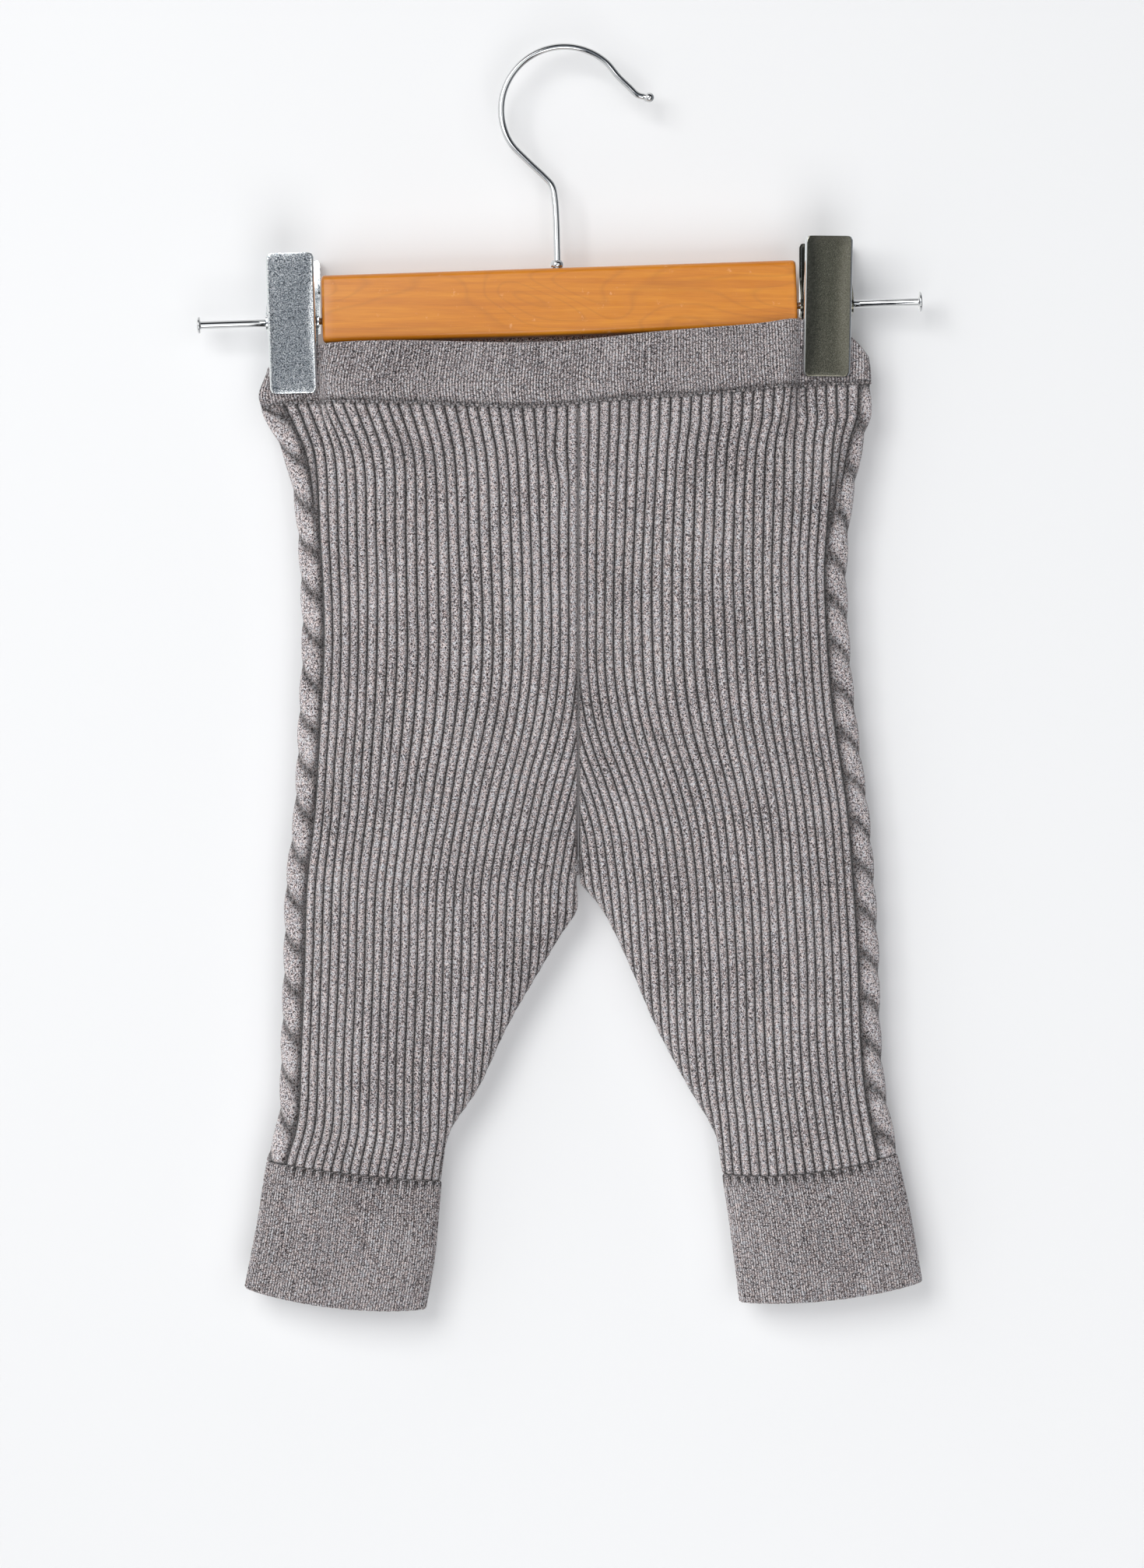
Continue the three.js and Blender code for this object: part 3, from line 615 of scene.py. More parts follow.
@dataclass(frozen=True)
class LegPanel:
    """A leg in broad rib with a cable down its outer side, open at the centre seam down to the crotch."""

    name: str
    sizes: SideSizes
    cable_half: float = 9.6
    cable_start: float = 10.4
    cable_repeat: float = 17.6
    spare_rib: float = 4.6
    side_steps: int = 26
    further_steps: int = 6
    rib_depth: float = 0.85
    rib_relief: float = 1.4
    cable_relief: float = 1.5
    columns_per_rib: int = 8
    most_ribs: int = 34
    edge_round: float = 1.2
    edge_sink: float = 0.9
    run_out: float = 1.3
    # gutter, end_shade and shade_reach set painted shade, not shape: how light the cable's gutters stay, and how
    # dark and how far the shade reaches at the waist seam and the cuff.
    gutter: float = 0.32
    end_shade: float = 0.5
    shade_reach: float = 0.9
    course: float = 1.05
    wale: float = 1.1

    def relief(self, k: np.ndarray) -> np.ndarray:
        """How far a rib's surface lies below its crest: a round rib with a narrow valley at whole k.

        Args:
            k: place across, counted in ribs.

        Returns:
            Depths in millimetres.
        """
        return self.rib_depth * self.rib_relief * valleys(k, 0.48)

    def cable(self, station: np.ndarray, z: np.ndarray) -> np.ndarray:
        """How far the cable's surface lies below its crest: round lobes that cross the cable in a
        flattened S, one to each repeat, with a gutter at either side.

        Args:
            station: place across, from -1 to 1.
            z: height.

        Returns:
            Depths in millimetres.
        """
        held = np.clip(station, -1, 1)
        lean = 0.5 * np.sin(np.pi / 2 * held) * self.sizes.side.value
        uneven = 0.06 * wander(held, z, 4.0 + self.sizes.side.value)
        lobe = np.abs(np.sin(np.pi * (z / self.cable_repeat + lean + uneven))) ** 0.5
        sides = np.sqrt(np.maximum(0, 1 - np.abs(held) ** 4))
        return self.cable_relief * (1 - lobe * sides) - 0.3

    def rows(self) -> np.ndarray:
        """Heights of the rows at the outer edge, closer together at the two ends.

        Returns:
            Heights from the waist seam to the cuff.
        """
        ends = np.array([0, 0.15, 0.4, 0.8, 1.4])
        body = np.linspace(self.sizes.top - 2.6, self.sizes.cuff_top + 2.6, 142)
        return np.concatenate([self.sizes.top - ends, body, self.sizes.cuff_top + ends[::-1]])

    def start(self, rows: np.ndarray) -> np.ndarray:
        """Arc length from the outer edge to the first rib: the cable's side is pulled wider by the clip.

        Args:
            rows: heights of the rows.

        Returns:
            Arc lengths.
        """
        return self.cable_start + self.spare_rib * self.pulled(rows)

    def pulled(self, rows: np.ndarray) -> np.ndarray:
        """How far the clip's pull has taken hold, from 0 at the hip to 1 at the waist seam.

        Args:
            rows: heights of the rows.

        Returns:
            The shares.
        """
        return smooth_step((rows - RELAXED_Z) / (self.sizes.top - RELAXED_Z))

    def side_columns(self, rows: np.ndarray, face: Face) -> tuple[np.ndarray, np.ndarray]:
        """The columns between the outer edge and the first rib that runs the whole way. Towards the waist
        the cable keeps its width, or slides round to the back on the right, and the room that this leaves
        is filled by further ribs.

        Args:
            rows: heights of the rows.
            face: front or back.

        Returns:
            Arc lengths, rows by columns, and each column's rib coordinate, -1 on the cable.
        """
        pulled, start = self.pulled(rows)[:, None], self.start(rows)[:, None]
        slide = self.spare_rib * (self.sizes.side is Side.RIGHT) * face.value
        further = int(round((self.spare_rib - slide) / self.spare_rib))
        fresh = self.further_steps * further
        share = 1 - fresh / self.side_steps
        edge = share * start * (1 - pulled) + (self.cable_start + slide * pulled) * pulled
        cable = self.side_steps - fresh
        steps = np.arange(fresh)
        arcs = np.concatenate([edge * np.arange(cable) / cable, edge + (start - edge) * steps / max(fresh, 1)],
                              axis=1)
        return arcs, np.concatenate([np.full(cable, -1.0), steps / self.further_steps])

    def arcs(self, rows: np.ndarray, k: np.ndarray, length: np.ndarray) -> np.ndarray:
        """Arc length of each rib coordinate in each row. Down to the top of the centre V a whole number
        of ribs fills the row; below it the ribs keep their own width and run out at the seam. They are a
        little wider in the middle of the hip than at its sides, and wander slightly.

        Args:
            rows: heights of the rows.
            k: rib coordinates.
            length: length of each row's half outline.

        Returns:
            Arc lengths from the outer edge, rows by columns.
        """
        own = np.interp(-rows, -np.array(RIB_PITCH["z"]), RIB_PITCH["pitch"])
        start = self.start(rows)
        whole = np.round(np.interp(238, -rows, (length - start) / own))
        free = smooth_step((-226 - rows) / 92)
        pitch = ((length - start) / whole * (1 - free) + own * free)[:, None]
        count = np.maximum((length - start)[:, None] / pitch, 1)
        swell = 0.1 * bell((rows + 236) / 60)[:, None]
        seed = 1.3 + self.sizes.side.value
        loose = 0.09 * wander(k[None, :], rows[:, None], seed) * np.sin(np.pi * np.clip(k / count, 0, 1)) ** 0.3
        kink = 0.3 * bell((k[None, :] - count + 2.2) / 1.2) * np.sin((rows[:, None] + 150) / 7.0)
        kink = kink * bell((rows[:, None] + 163) / 16) * (self.sizes.side is Side.LEFT)
        return start[:, None] + pitch * (k - swell * count / (2 * np.pi) * np.sin(2 * np.pi * k / count)
                                         + loose + kink)

    def build(self) -> bpy.types.Object:
        """Makes the panel: a ribbed outer grid whose ribs run out at the seam, a plain inner grid, and
        strips round the edges.

        Returns:
            The panel.
        """
        rows = self.rows()
        outer = outlines(self.sizes, rows, 0.0)
        steps = np.arange(0, self.most_ribs * self.columns_per_rib) / self.columns_per_rib
        arcs = self.arcs(rows, steps, outer.length)
        ribs = np.concatenate([np.full(self.side_steps, -1.0), steps])
        end = outer.length[:, None]
        last = self.side_steps + (arcs < end - 0.2).sum(axis=1)
        columns = np.arange(len(ribs))[None, :]
        from_top = (self.sizes.top - rows)[:, None]
        from_cuff = (rows - self.sizes.cuff_top)[:, None]
        near = np.clip(1 - np.minimum(from_top, from_cuff) / self.edge_round, 0, 1)
        turn = self.edge_sink * (1 - np.sqrt(1 - near**2))
        relief = np.where(ribs >= 0, self.relief(ribs), 0.0)[None, :]
        on_cable = ribs[None, :] < 0
        shift = np.zeros_like(rows)
        shift[0], shift[-1] = -0.02, 0.02

        slid = (self.spare_rib * (self.sizes.side is Side.RIGHT) * self.pulled(rows))[:, None]
        points, knits, ids, edges = [], [], [], []
        base = 0
        for face in Face:
            side_arcs, side_ribs = self.side_columns(rows, face)
            from_edge = np.concatenate([side_arcs, arcs], axis=1)
            from_edge = np.where(columns >= last[:, None], end, from_edge)
            edges.append(from_edge)
            near_end = smooth_step(1 - (end - from_edge) / self.run_out)
            station = (face.value * from_edge - slid) / self.cable_half
            sink = np.where(on_cable, self.cable(station, rows[:, None]), relief * np.ones_like(from_edge))
            come = np.zeros_like(from_edge)
            come[:, :self.side_steps] = self.pulled(rows)[:, None] ** 0.7 * (side_ribs >= 0)
            fresh = np.concatenate([self.relief(np.maximum(side_ribs, 0)), np.zeros(len(steps))])
            sink = sink * (1 - come) + fresh[None, :] * come
            sink = sink * (1 - near_end) + (self.rib_depth * 0.75) * near_end + turn
            at = outer.at(from_edge, sink, face)
            self.part(at, from_edge, end, face)
            at[..., 2] += shift[:, None]
            wale = np.where(ribs >= 0, ribs * 4, from_edge / self.wale) * face.value
            # Painted shade for the knit's material: low in the valleys of the ribs and the cable, held up beside the
            # cable by the gutter floor, and darkened near the waist seam and the cuff.
            deepest = self.rib_depth * np.where(on_cable, self.cable_relief, self.rib_relief)
            height = 1 - np.clip((sink - turn) / deepest, 0, 1)
            gutter = self.gutter * smooth_step((np.abs(station) - 0.72) / 0.16) * (1 - come)
            height = np.where(on_cable, np.maximum(height, gutter), height)
            height = height * (1 - self.end_shade * bell(np.minimum(from_top, from_cuff * 1.6) / self.shade_reach))
            points.append(at.reshape(-1, 3))
            knits.append(layered(wale, rows[:, None] / self.course, height).reshape(-1, 3))
            grid = base + np.arange(at.shape[0])[:, None] * at.shape[1] + np.minimum(columns, last[:, None])
            ids.append(grid)
            base += at.shape[0] * at.shape[1]
        ids[1][:, 0] = ids[0][:, 0]
        faces = [grid_faces(ids[0]), grid_faces(ids[1])[:, ::-1]]
        outline_ids = [np.concatenate([ids[0][i, last[i]::-1], ids[1][i, 1:last[i] + 1]]) for i in (0, -1)]
        outline_keys = [np.concatenate([-edges[0][i, last[i]::-1], edges[1][i, 1:last[i] + 1]]) / outer.length[i]
                        for i in (0, -1)]

        lining = outlines(self.sizes, rows, 2.0 + 0.4 * self.sizes.relax(rows))
        even = np.linspace(-1, 1, 45)
        key = np.sign(even) * np.abs(even) ** 1.5
        span = lining.length[:, None]
        halves = ((key[key <= 0], Face.FRONT), (key[key > 0], Face.BACK))
        within = np.concatenate([lining.at(part * span, np.zeros((len(rows), len(part))), face)
                                 for part, face in halves], axis=1)
        self.part(within, np.abs(key) * span, span, None)
        within[..., 2] += shift[:, None]
        inner_ids = base + np.arange(within.shape[0] * within.shape[1]).reshape(within.shape[:2])
        points.append(within.reshape(-1, 3))
        # The inside of the cloth gets an even painted shade of 0.7.
        knits.append(layered(key * 90, rows[:, None] / self.course, 0.7).reshape(-1, 3))
        faces.append(grid_faces(inner_ids))

        edge = [np.take_along_axis(grid, last[:, None], axis=1) for grid in ids]
        faces.append(grid_faces(np.concatenate([inner_ids[:, :1], edge[0]], axis=1))[:, ::-1])
        faces.append(grid_faces(np.concatenate([edge[1], inner_ids[:, -1:]], axis=1))[:, ::-1])
        for i, flip in ((0, 1), (-1, -1)):
            strip = zip_faces(outline_ids[i], outline_keys[i], inner_ids[i], key)
            faces.append(strip[:, ::flip])
        return make_piece(self.name, np.concatenate(points), np.concatenate(faces), np.concatenate(knits))

    @staticmethod
    def part(at: Points, s: np.ndarray, end: np.ndarray, face: Face | None) -> None:
        """Keeps the front and the back a seam's width apart where they meet at the inseam, in place.

        Args:
            at: points to change, rows by columns by three.
            s: their arc lengths.
            end: arc length of each row's end.
            face: the face they're on, or none where the middle column divides front from back.

        Returns:
            None.
        """
        if face is None:
            sign = np.where(np.arange(at.shape[1]) < at.shape[1] // 2, -1, 1)[None, :]
        else:
            sign = np.full((1, at.shape[1]), face.value)
        apart = np.where(s > end / 2, SEAM_GAP / 2, 0)
        at[..., 1] = sign * np.maximum(sign * at[..., 1], apart)


def section_rows(wall: float, rows: int, inner_rows: int) -> tuple[np.ndarray, np.ndarray, np.ndarray]:
    """The closed section of a tube's wall: down the outside, round the bottom edge, up the inside and
    round the top edge, both edges half circles.

    Args:
        wall: thickness of the wall.
        rows: rows down the outside.
        inner_rows: rows up the inside.

    Returns:
        For each point of the section: place down the wall from 0 to 1, added height, and inset.
    """
    radius = wall / 2
    turn = np.linspace(0, np.pi, 8)[1:-1]
    down = np.linspace(0, 1, rows)
    up = np.linspace(1, 0, inner_rows)
    place = np.concatenate([down, np.ones(6), up, np.zeros(6)])
    inset = np.concatenate([np.zeros(rows), radius * (1 - np.cos(turn)), np.full(inner_rows, wall),
                            radius * (1 + np.cos(turn))])
    lift = np.concatenate([radius * (2 * down - 1), radius * (1 - np.sin(turn)),
                           radius * (2 * up - 1), radius * (np.sin(turn) - 1)])
    return place, lift, inset


def joined(front: np.ndarray, back: np.ndarray) -> np.ndarray:
    """Joins the grids of a tube's front and back, which meet in their first and last columns.

    Args:
        front: rows by columns by values.
        back: the same for the back.

    Returns:
        The grid all round.
    """
    return np.concatenate([front, back[:, -2:0:-1]], axis=1)


def ring_piece(name: str, points: Points, knit: Points) -> bpy.types.Object:
    """Makes a piece from a grid that closes both ways.

    Args:
        name: the object's name.
        points: places round the section by places round the ring by three.
        knit: the knit's values for each point.

    Returns:
        The piece.
    """
    rows, columns = points.shape[:2]
    ids = np.pad(np.arange(rows * columns).reshape(rows, columns), ((0, 1), (0, 1)), mode="wrap")
    return make_piece(name, points.reshape(-1, 3), grid_faces(ids), knit.reshape(-1, 3))


@dataclass(frozen=True)
class Cuff:
    """A fine-rib cuff, knitted on below a leg, whose broad ribs run out into its top in short slits."""

    name: str
    sizes: SideSizes
    wall: float = 2.2
    rib: float = 1.02
    columns_per_rib: int = 4
    rib_depth: float = 0.42
    slit: float = 3.4
    slit_depth: float = 0.75
    first_slit: float = 10.4
    slit_pitch: float = 3.75
    course: float = 0.9

    def build(self) -> bpy.types.Object:
        """Makes the cuff as one wall closed round its edges, with a soft crease in front and one behind.

        Returns:
            The cuff.
        """
        place, lift, inset = section_rows(self.wall, 38, 9)
        rows = self.sizes.cuff_top + (self.sizes.hem - self.sizes.cuff_top) * place
        shape = outlines(self.sizes, rows, inset)
        ribs = int(round(2 * float(np.mean(shape.length)) / self.rib))
        half = ribs * self.columns_per_rib // 2
        t = np.arange(half + 1) / half
        across, deep, wide = self.sizes.cuff_crease
        outside = np.clip(1 - inset / self.wall, 0, 1)[:, None]
        fade = np.sin(np.pi * (0.12 + 0.76 * place))[:, None]
        down = (place * (self.sizes.cuff_top - self.sizes.hem))[:, None]
        arc = t[None, :] * shape.length[:, None]
        broad = (arc - self.first_slit) / self.slit_pitch
        valley = np.where(broad > 0, valleys(broad, 0.5), 0)
        slits = self.slit_depth * valley * np.clip(1 - down / self.slit, 0, 1)
        fine = self.rib_depth * valleys(np.arange(half + 1) / self.columns_per_rib, 0.8)

        halves, knits = [], []
        for face in Face:
            bend = wander(6 * t[None, :] + 2 * face.value, down, 0.7 * self.sizes.side.value)
            crease = wide * bell((t[None, :] + 0.0006 * (down - 25) * face.value - across) / deep)
            if face is Face.BACK:
                crease = 0.6 * wide * bell((t[None, :] - 1 + across) / deep)
            soft = fade * (crease + 0.35 * bend) * np.sin(np.pi * t[None, :]) ** 0.5
            sink = soft + outside * (slits + fine[None, :])
            at = shape.at(arc, sink, face)
            at[:, [0, -1], 1] = 0
            at[..., 2] += lift[:, None] - 0.02 * (1 - place[:, None])
            at[..., 2] -= 0.3 * valley * place[:, None] ** 12 * outside
            # Painted shade for the knit's material: darker in the fine ribs' valleys and in the slits.
            height = np.clip(1 - (slits + fine[None, :]) * outside / 0.6, 0, 1)
            halves.append(at)
            knits.append(layered(np.arange(half + 1) / self.columns_per_rib * face.value, at[..., 2] / self.course,
                                 height))
        return ring_piece(self.name, joined(*halves), joined(*knits))


@dataclass(frozen=True)
class Waistband:
    """A ring in fine rib whose two ends are pressed flat in the clips and whose middle stands open."""

    name: str = "waistband_knit"
    wall: float = 2.0
    rib: float = 1.15
    columns_per_rib: int = 4
    rib_depth: float = 0.45
    course: float = 0.95
    jaw_slope: float = 0.1445
    jaw_drop: float = 27.8
    seam_gap: float = 0.02
    end_power: int = 40
    height: float = 22.0
    # end_shade and shade_reach set painted shade at the seam with the legs, not shape.
    end_shade: float = 0.45
    shade_reach: float = 0.9

    def depth(self, x: np.ndarray, z: np.ndarray) -> np.ndarray:
        """Half depth of the band: the jaws' where a clip holds it, opening upwards as the plates do, and
        the open depth between the clips.

        Args:
            x: places across.
            z: heights.

        Returns:
            Half depths.
        """
        depths = []
        for clip in (LEFT_SIDE.clip, RIGHT_SIDE.clip):
            jaw = PINCHED_DEPTH + np.maximum(0, z - (clip.z - self.jaw_drop)) * self.jaw_slope
            depths.append(pinched(x, clip, jaw, BAND_DEPTH, 6.0))
        return np.minimum(*depths)

    def build(self) -> bpy.types.Object:
        """Makes the band as one wall closed round its edges.

        Returns:
            The waistband.
        """
        place, lift, inset = (column[:, None] for column in section_rows(self.wall, 24, 7))
        left_z, right_z = (BAND_TOP_FRONT["z"][i] + (SEAM_LINE["z"][i] - BAND_TOP_FRONT["z"][i]) * place
                           for i in (0, -1))
        left = look(LEFT_SIDE.outer, "z", left_z, "x") + inset
        right = look(RIGHT_SIDE.outer, "z", right_z, "x") - inset
        middle, half = (left + right) / 2, (right - left) / 2
        u = -np.cos(np.linspace(0, np.pi, 1600))[None, :]
        halves, knits = [], []
        ribs = int(round(float(np.mean(right - left)) / self.rib))
        count = ribs * self.columns_per_rib
        even = np.arange(count + 1) / count
        outside = np.clip(1 - inset / self.wall, 0, 1)
        fine = self.rib_depth * valleys(even * ribs, 0.8)
        ends = np.sin(np.pi * even) ** 0.1
        down = np.sin(np.pi * np.clip(place, 0, 1))
        for face in Face:
            top = BAND_TOP_FRONT if face is Face.FRONT else BAND_TOP_BACK
            x = middle + half * u
            z = look(top, "x", x, "z") * (1 - place) + (look(SEAM_LINE, "x", x, "z") + self.seam_gap) * place + lift
            y = (self.depth(x, z) - inset) * np.sqrt(np.maximum(0, 1 - np.abs(u) ** self.end_power))
            arc = arc_lengths(x, y)
            xs, ys, zs = resampled(even[None, :] * arc[:, -1:], arc, x, y, z)
            free = smooth_step((np.minimum(*(np.abs(xs - c.x) for c in (LEFT_SIDE.clip, RIGHT_SIDE.clip)))
                                - PINCH_HALF) / 14)
            soft = 0.5 * free * down * wander(xs / 16, 12 * place, 2.0 + face.value)
            ys = np.maximum(ys - (soft + fine * outside) * ends, 0)
            ys[:, 0] = ys[:, -1] = 0
            halves.append(np.stack([xs, face.value * ys, zs], -1))
            # Painted shade for the knit's material: darker in the fine ribs' valleys and along the band's seam with
            # the legs.
            height = np.clip(1 - fine * outside / 0.6, 0, 1)
            height = height * (1 - self.end_shade * bell((1 - place) * self.height / self.shade_reach))
            knits.append(layered(even * ribs * face.value, zs / self.course, height))
        return ring_piece(self.name, joined(*halves), joined(*knits))


@dataclass(frozen=True)
class LinkedSeam:
    """The chain of loops that links the waistband to the legs, a beaded line round the waist."""

    name: str = "waist_seam_loops"
    radius: float = 0.66
    loop: float = 1.9
    steps: int = 6
    sides: int = 8
    inset: float = 0.5

    def build(self) -> bpy.types.Object:
        """Makes the chain: a thin closed tube along the seam that swells at each loop.

        Returns:
            The chain.
        """
        left = float(look(LEFT_SIDE.outer, "z", LEFT_SIDE.top, "x")) + self.inset
        right = float(look(RIGHT_SIDE.outer, "z", RIGHT_SIDE.top, "x")) - self.inset
        middle, half = (left + right) / 2, (right - left) / 2
        band = Waistband()
        u = -np.cos(np.linspace(0, np.pi, 1500))
        x = middle + half * u
        z = look(SEAM_LINE, "x", x, "z")
        y = (band.depth(x, z) - self.inset) * np.sqrt(np.maximum(0, 1 - np.abs(u) ** band.end_power))
        front = np.stack([x, -y, z], -1)
        back = np.stack([x, y, z], -1)[-2:0:-1]
        route = np.concatenate([front, back, front[:1]])
        arc = np.concatenate([[0], np.cumsum(np.linalg.norm(np.diff(route, axis=0), axis=1))])
        loops = int(round(arc[-1] / self.loop))
        even = np.linspace(0, arc[-1], loops * self.steps + 1)[:-1]
        path = np.stack([np.interp(even, arc, route[:, i]) for i in range(3)], -1)
        run = unit(np.roll(path, -1, axis=0) - np.roll(path, 1, axis=0))
        across = unit(np.cross(run, np.array([0.0, 0.0, 1.0])))
        up = np.cross(across, run)
        swell = np.abs(np.sin(np.pi * np.arange(len(path)) / self.steps))
        radius = self.radius * (0.5 + 0.5 * swell) * (1 + 0.15 * wander(even / 9, even, 1.0))
        angle = 2 * np.pi * np.arange(self.sides) / self.sides
        ring = across[:, None] * np.cos(angle)[None, :, None] + 0.8 * up[:, None] * np.sin(angle)[None, :, None]
        points = path[:, None] + ring * radius[:, None, None]
        # Painted shade: the loops are dark overall and darker where the chain narrows between them.
        knit = layered((even / self.loop)[:, None], angle / 3, (0.05 + 0.75 * swell)[:, None])
        return ring_piece(self.name, points, knit)


def crotch_knot() -> bpy.types.Object:
    """Makes the small soft end of the seam where the legs part, a flattened ball.

    Returns:
        The ball.
    """
    radius, half, thick = 2.1, 3.2, 1.6
    x, y, z = 4.4, -1.5, -327.4
    profile = [(radius * math.sin(a), -half * math.cos(a)) for a in np.linspace(0, np.pi, 15)]
    profile[0], profile[-1] = (0.0, -half), (0.0, half)
    points, faces = turned_shape(profile, 24)
    bumps = 1 + 0.07 * np.sin(points[:, 0] * 4.5) * np.cos(np.arctan2(points[:, 2], points[:, 1]) * 4)
    points = layered(points[:, 2] * bumps + x, points[:, 1] * bumps * thick + y, points[:, 0] + z)
    # The knot gets an even painted shade of 0.55.
    knit = layered(points[:, 0], points[:, 2], 0.55)
    return make_piece("crotch_seam_end", points, faces, knit)


def placed(points: Points, x: float, z: float, tilt: float) -> Points:
    """Turns points about Y, right end up, and moves them.

    Args:
        points: points in millimetres.
        x: where the origin goes.
        z: where the origin goes.
        tilt: the turn, in degrees.

    Returns:
        The points in their place.
    """
    c, s = math.cos(math.radians(tilt)), math.sin(math.radians(tilt))
    return np.stack([points[..., 0] * c - points[..., 2] * s + x, points[..., 1],
                     points[..., 0] * s + points[..., 2] * c + z], -1)


def closed_tube(path: Points, across: Points, radii: np.ndarray, sides: int) -> tuple[Points, Ids]:
    """A tube of changing radius along a path, closed to a point at both ends.

    Args:
        path: points along the middle.
        across: for each, a unit vector square to the path.
        radii: for each, the radius.
        sides: points round the tube.

    Returns:
        Points and triangles.
    """
    other = np.cross(unit(np.gradient(path, axis=0)), across)
    angle = 2 * np.pi * np.arange(sides) / sides
    ring = np.cos(angle)[None, :, None] * across[:, None] + np.sin(angle)[None, :, None] * other[:, None]
    return capped(path[:, None] + ring * radii[:, None, None], path[[0, -1]])


def turned_shape(profile: list[tuple[float, float]], sides: int) -> tuple[Points, Ids]:
    """A solid turned about X, whose profile starts and ends on the axis or closes on itself.

    Args:
        profile: radius and place along X of each point.
        sides: points round it.

    Returns:
        Points and triangles.
    """
    shape = np.array(profile, float)
    angle = 2 * np.pi * np.arange(sides) / sides
    wall = layered(shape[:, 1:], shape[:, :1] * np.cos(angle), shape[:, :1] * np.sin(angle))
    ids = np.arange(len(shape) * sides).reshape(-1, sides)
    ids = np.where(shape[:, :1] < 1e-9, ids[:, :1], ids)
    if shape[0, 0] > 0:
        ids = np.concatenate([ids, ids[:1]])
    ids = np.concatenate([ids, ids[:, :1]], axis=1)
    return wall.reshape(-1, 3), grid_faces(ids)


def soft_path(route: Points, per_step: int) -> Points:
    """A smooth curve through points: in each step a cubic whose slopes follow the centripetal rule, by
    which short steps bend more tightly than long ones.

    Args:
        route: the points.
        per_step: curve points in each step.

    Returns:
        Points along the curve.
    """
    first = 2 * route[0] - route[1]
    last = 2 * route[-1] - route[-2]
    knots = np.concatenate([[first], route, [last]])
    gaps = np.sqrt(np.linalg.norm(np.diff(knots, axis=0), axis=1))[:, None]
    p0, p1, p2, p3 = knots[:-3], knots[1:-2], knots[2:-1], knots[3:]
    d0, d1, d2 = gaps[:-2], gaps[1:-1], gaps[2:]
    m1 = ((p1 - p0) / d0 - (p2 - p0) / (d0 + d1) + (p2 - p1) / d1) * d1
    m2 = ((p2 - p1) / d1 - (p3 - p1) / (d1 + d2) + (p3 - p2) / d2) * d1
    t = (np.arange(per_step) / per_step)[None, :, None]
    curve = cubic(p1[:, None], m1[:, None], p2[:, None], m2[:, None], t)
    return np.concatenate([curve.reshape(-1, 3), route[-1:]])


def bored(piece: bpy.types.Object, cutters: list[bpy.types.Object]) -> bpy.types.Object:
    """Cuts holes in a piece and deletes the shapes that cut them.

    Args:
        piece: the piece.
        cutters: shapes to take away from it.

    Returns:
        The piece.
    """
    for cutter in cutters:
        cut = piece.modifiers.new("bore", "BOOLEAN")
        cut.operation = "DIFFERENCE"
        cut.solver = "EXACT"
        cut.object = cutter
    graph = bpy.context.evaluated_depsgraph_get()
    mesh = bpy.data.meshes.new_from_object(piece.evaluated_get(graph), depsgraph=graph)
    piece.modifiers.clear()
    old = piece.data
    piece.data = mesh
    bpy.data.meshes.remove(old)
    mesh.name = piece.name
    for cutter in cutters:
        shape = cutter.data
        bpy.data.objects.remove(cutter)
        bpy.data.meshes.remove(shape)
    return piece


def sharpen(piece: bpy.types.Object, degrees: float = 38.0) -> bpy.types.Object:
    """Marks a hard piece's edges sharp where its faces meet at a steep angle.

    Args:
        piece: the piece.
        degrees: the angle above which an edge is sharp.

    Returns:
        The piece.
    """
    piece.data.set_sharp_from_angle(angle=math.radians(degrees))
    return piece


def capped(loops: Points, ends: Points) -> tuple[Points, Ids]:
    """A solid through closed loops of equal count, with a fan of triangles over each end.

    Args:
        loops: loops by points by three.
        ends: the middle points of the two fans.

    Returns:
        Points and triangles.
    """
    count, sides = loops.shape[:2]
    ids = np.pad(np.arange(count * sides).reshape(count, sides), ((0, 0), (0, 1)), mode="wrap")
    caps = [layered(count * sides, ids[0, 1:], ids[0, :-1]), layered(count * sides + 1, ids[-1, :-1], ids[-1, 1:])]
    return np.concatenate([loops.reshape(-1, 3), ends]), np.concatenate([grid_faces(ids), *caps])


def lofted(loops: Points) -> tuple[Points, Ids]:
    """A solid through closed loops of equal count, with flat ends.

    Args:
        loops: loops by points by three.

    Returns:
        Points and triangles.
    """
    return capped(loops, loops[[0, -1]].mean(axis=1))


def together(*parts: tuple[Points, Ids]) -> tuple[Points, Ids]:
    """Joins closed shapes into one list of points and triangles, each turned to face outwards.

    Args:
        parts: points and triangles of each.

    Returns:
        Points and triangles of all.
    """
    points, faces, base = [], [], 0
    for at, tris in parts:
        faces.append(faced_out(at, tris) + base)
        points.append(at)
        base += len(at)
    return np.concatenate(points), np.concatenate(faces)


def rounded_rectangle(half_y: float, half_z: float, radius: float, per_corner: int) -> Points:
    """A closed rectangle in Y and Z with round corners.

    Args:
        half_y: half its width.
        half_z: half its height.
        radius: radius of its corners.
        per_corner: points in each corner.

    Returns:
        Points, Y and Z.
    """
    angle = np.concatenate([np.linspace(a, a + np.pi / 2, per_corner) for a in np.arange(4) * np.pi / 2])
    sign_y = np.repeat([1, -1, -1, 1], per_corner)
    sign_z = np.repeat([1, 1, -1, -1], per_corner)
    return np.stack([sign_y * (half_y - radius) + radius * np.cos(angle),
                     sign_z * (half_z - radius) + radius * np.sin(angle)], -1)


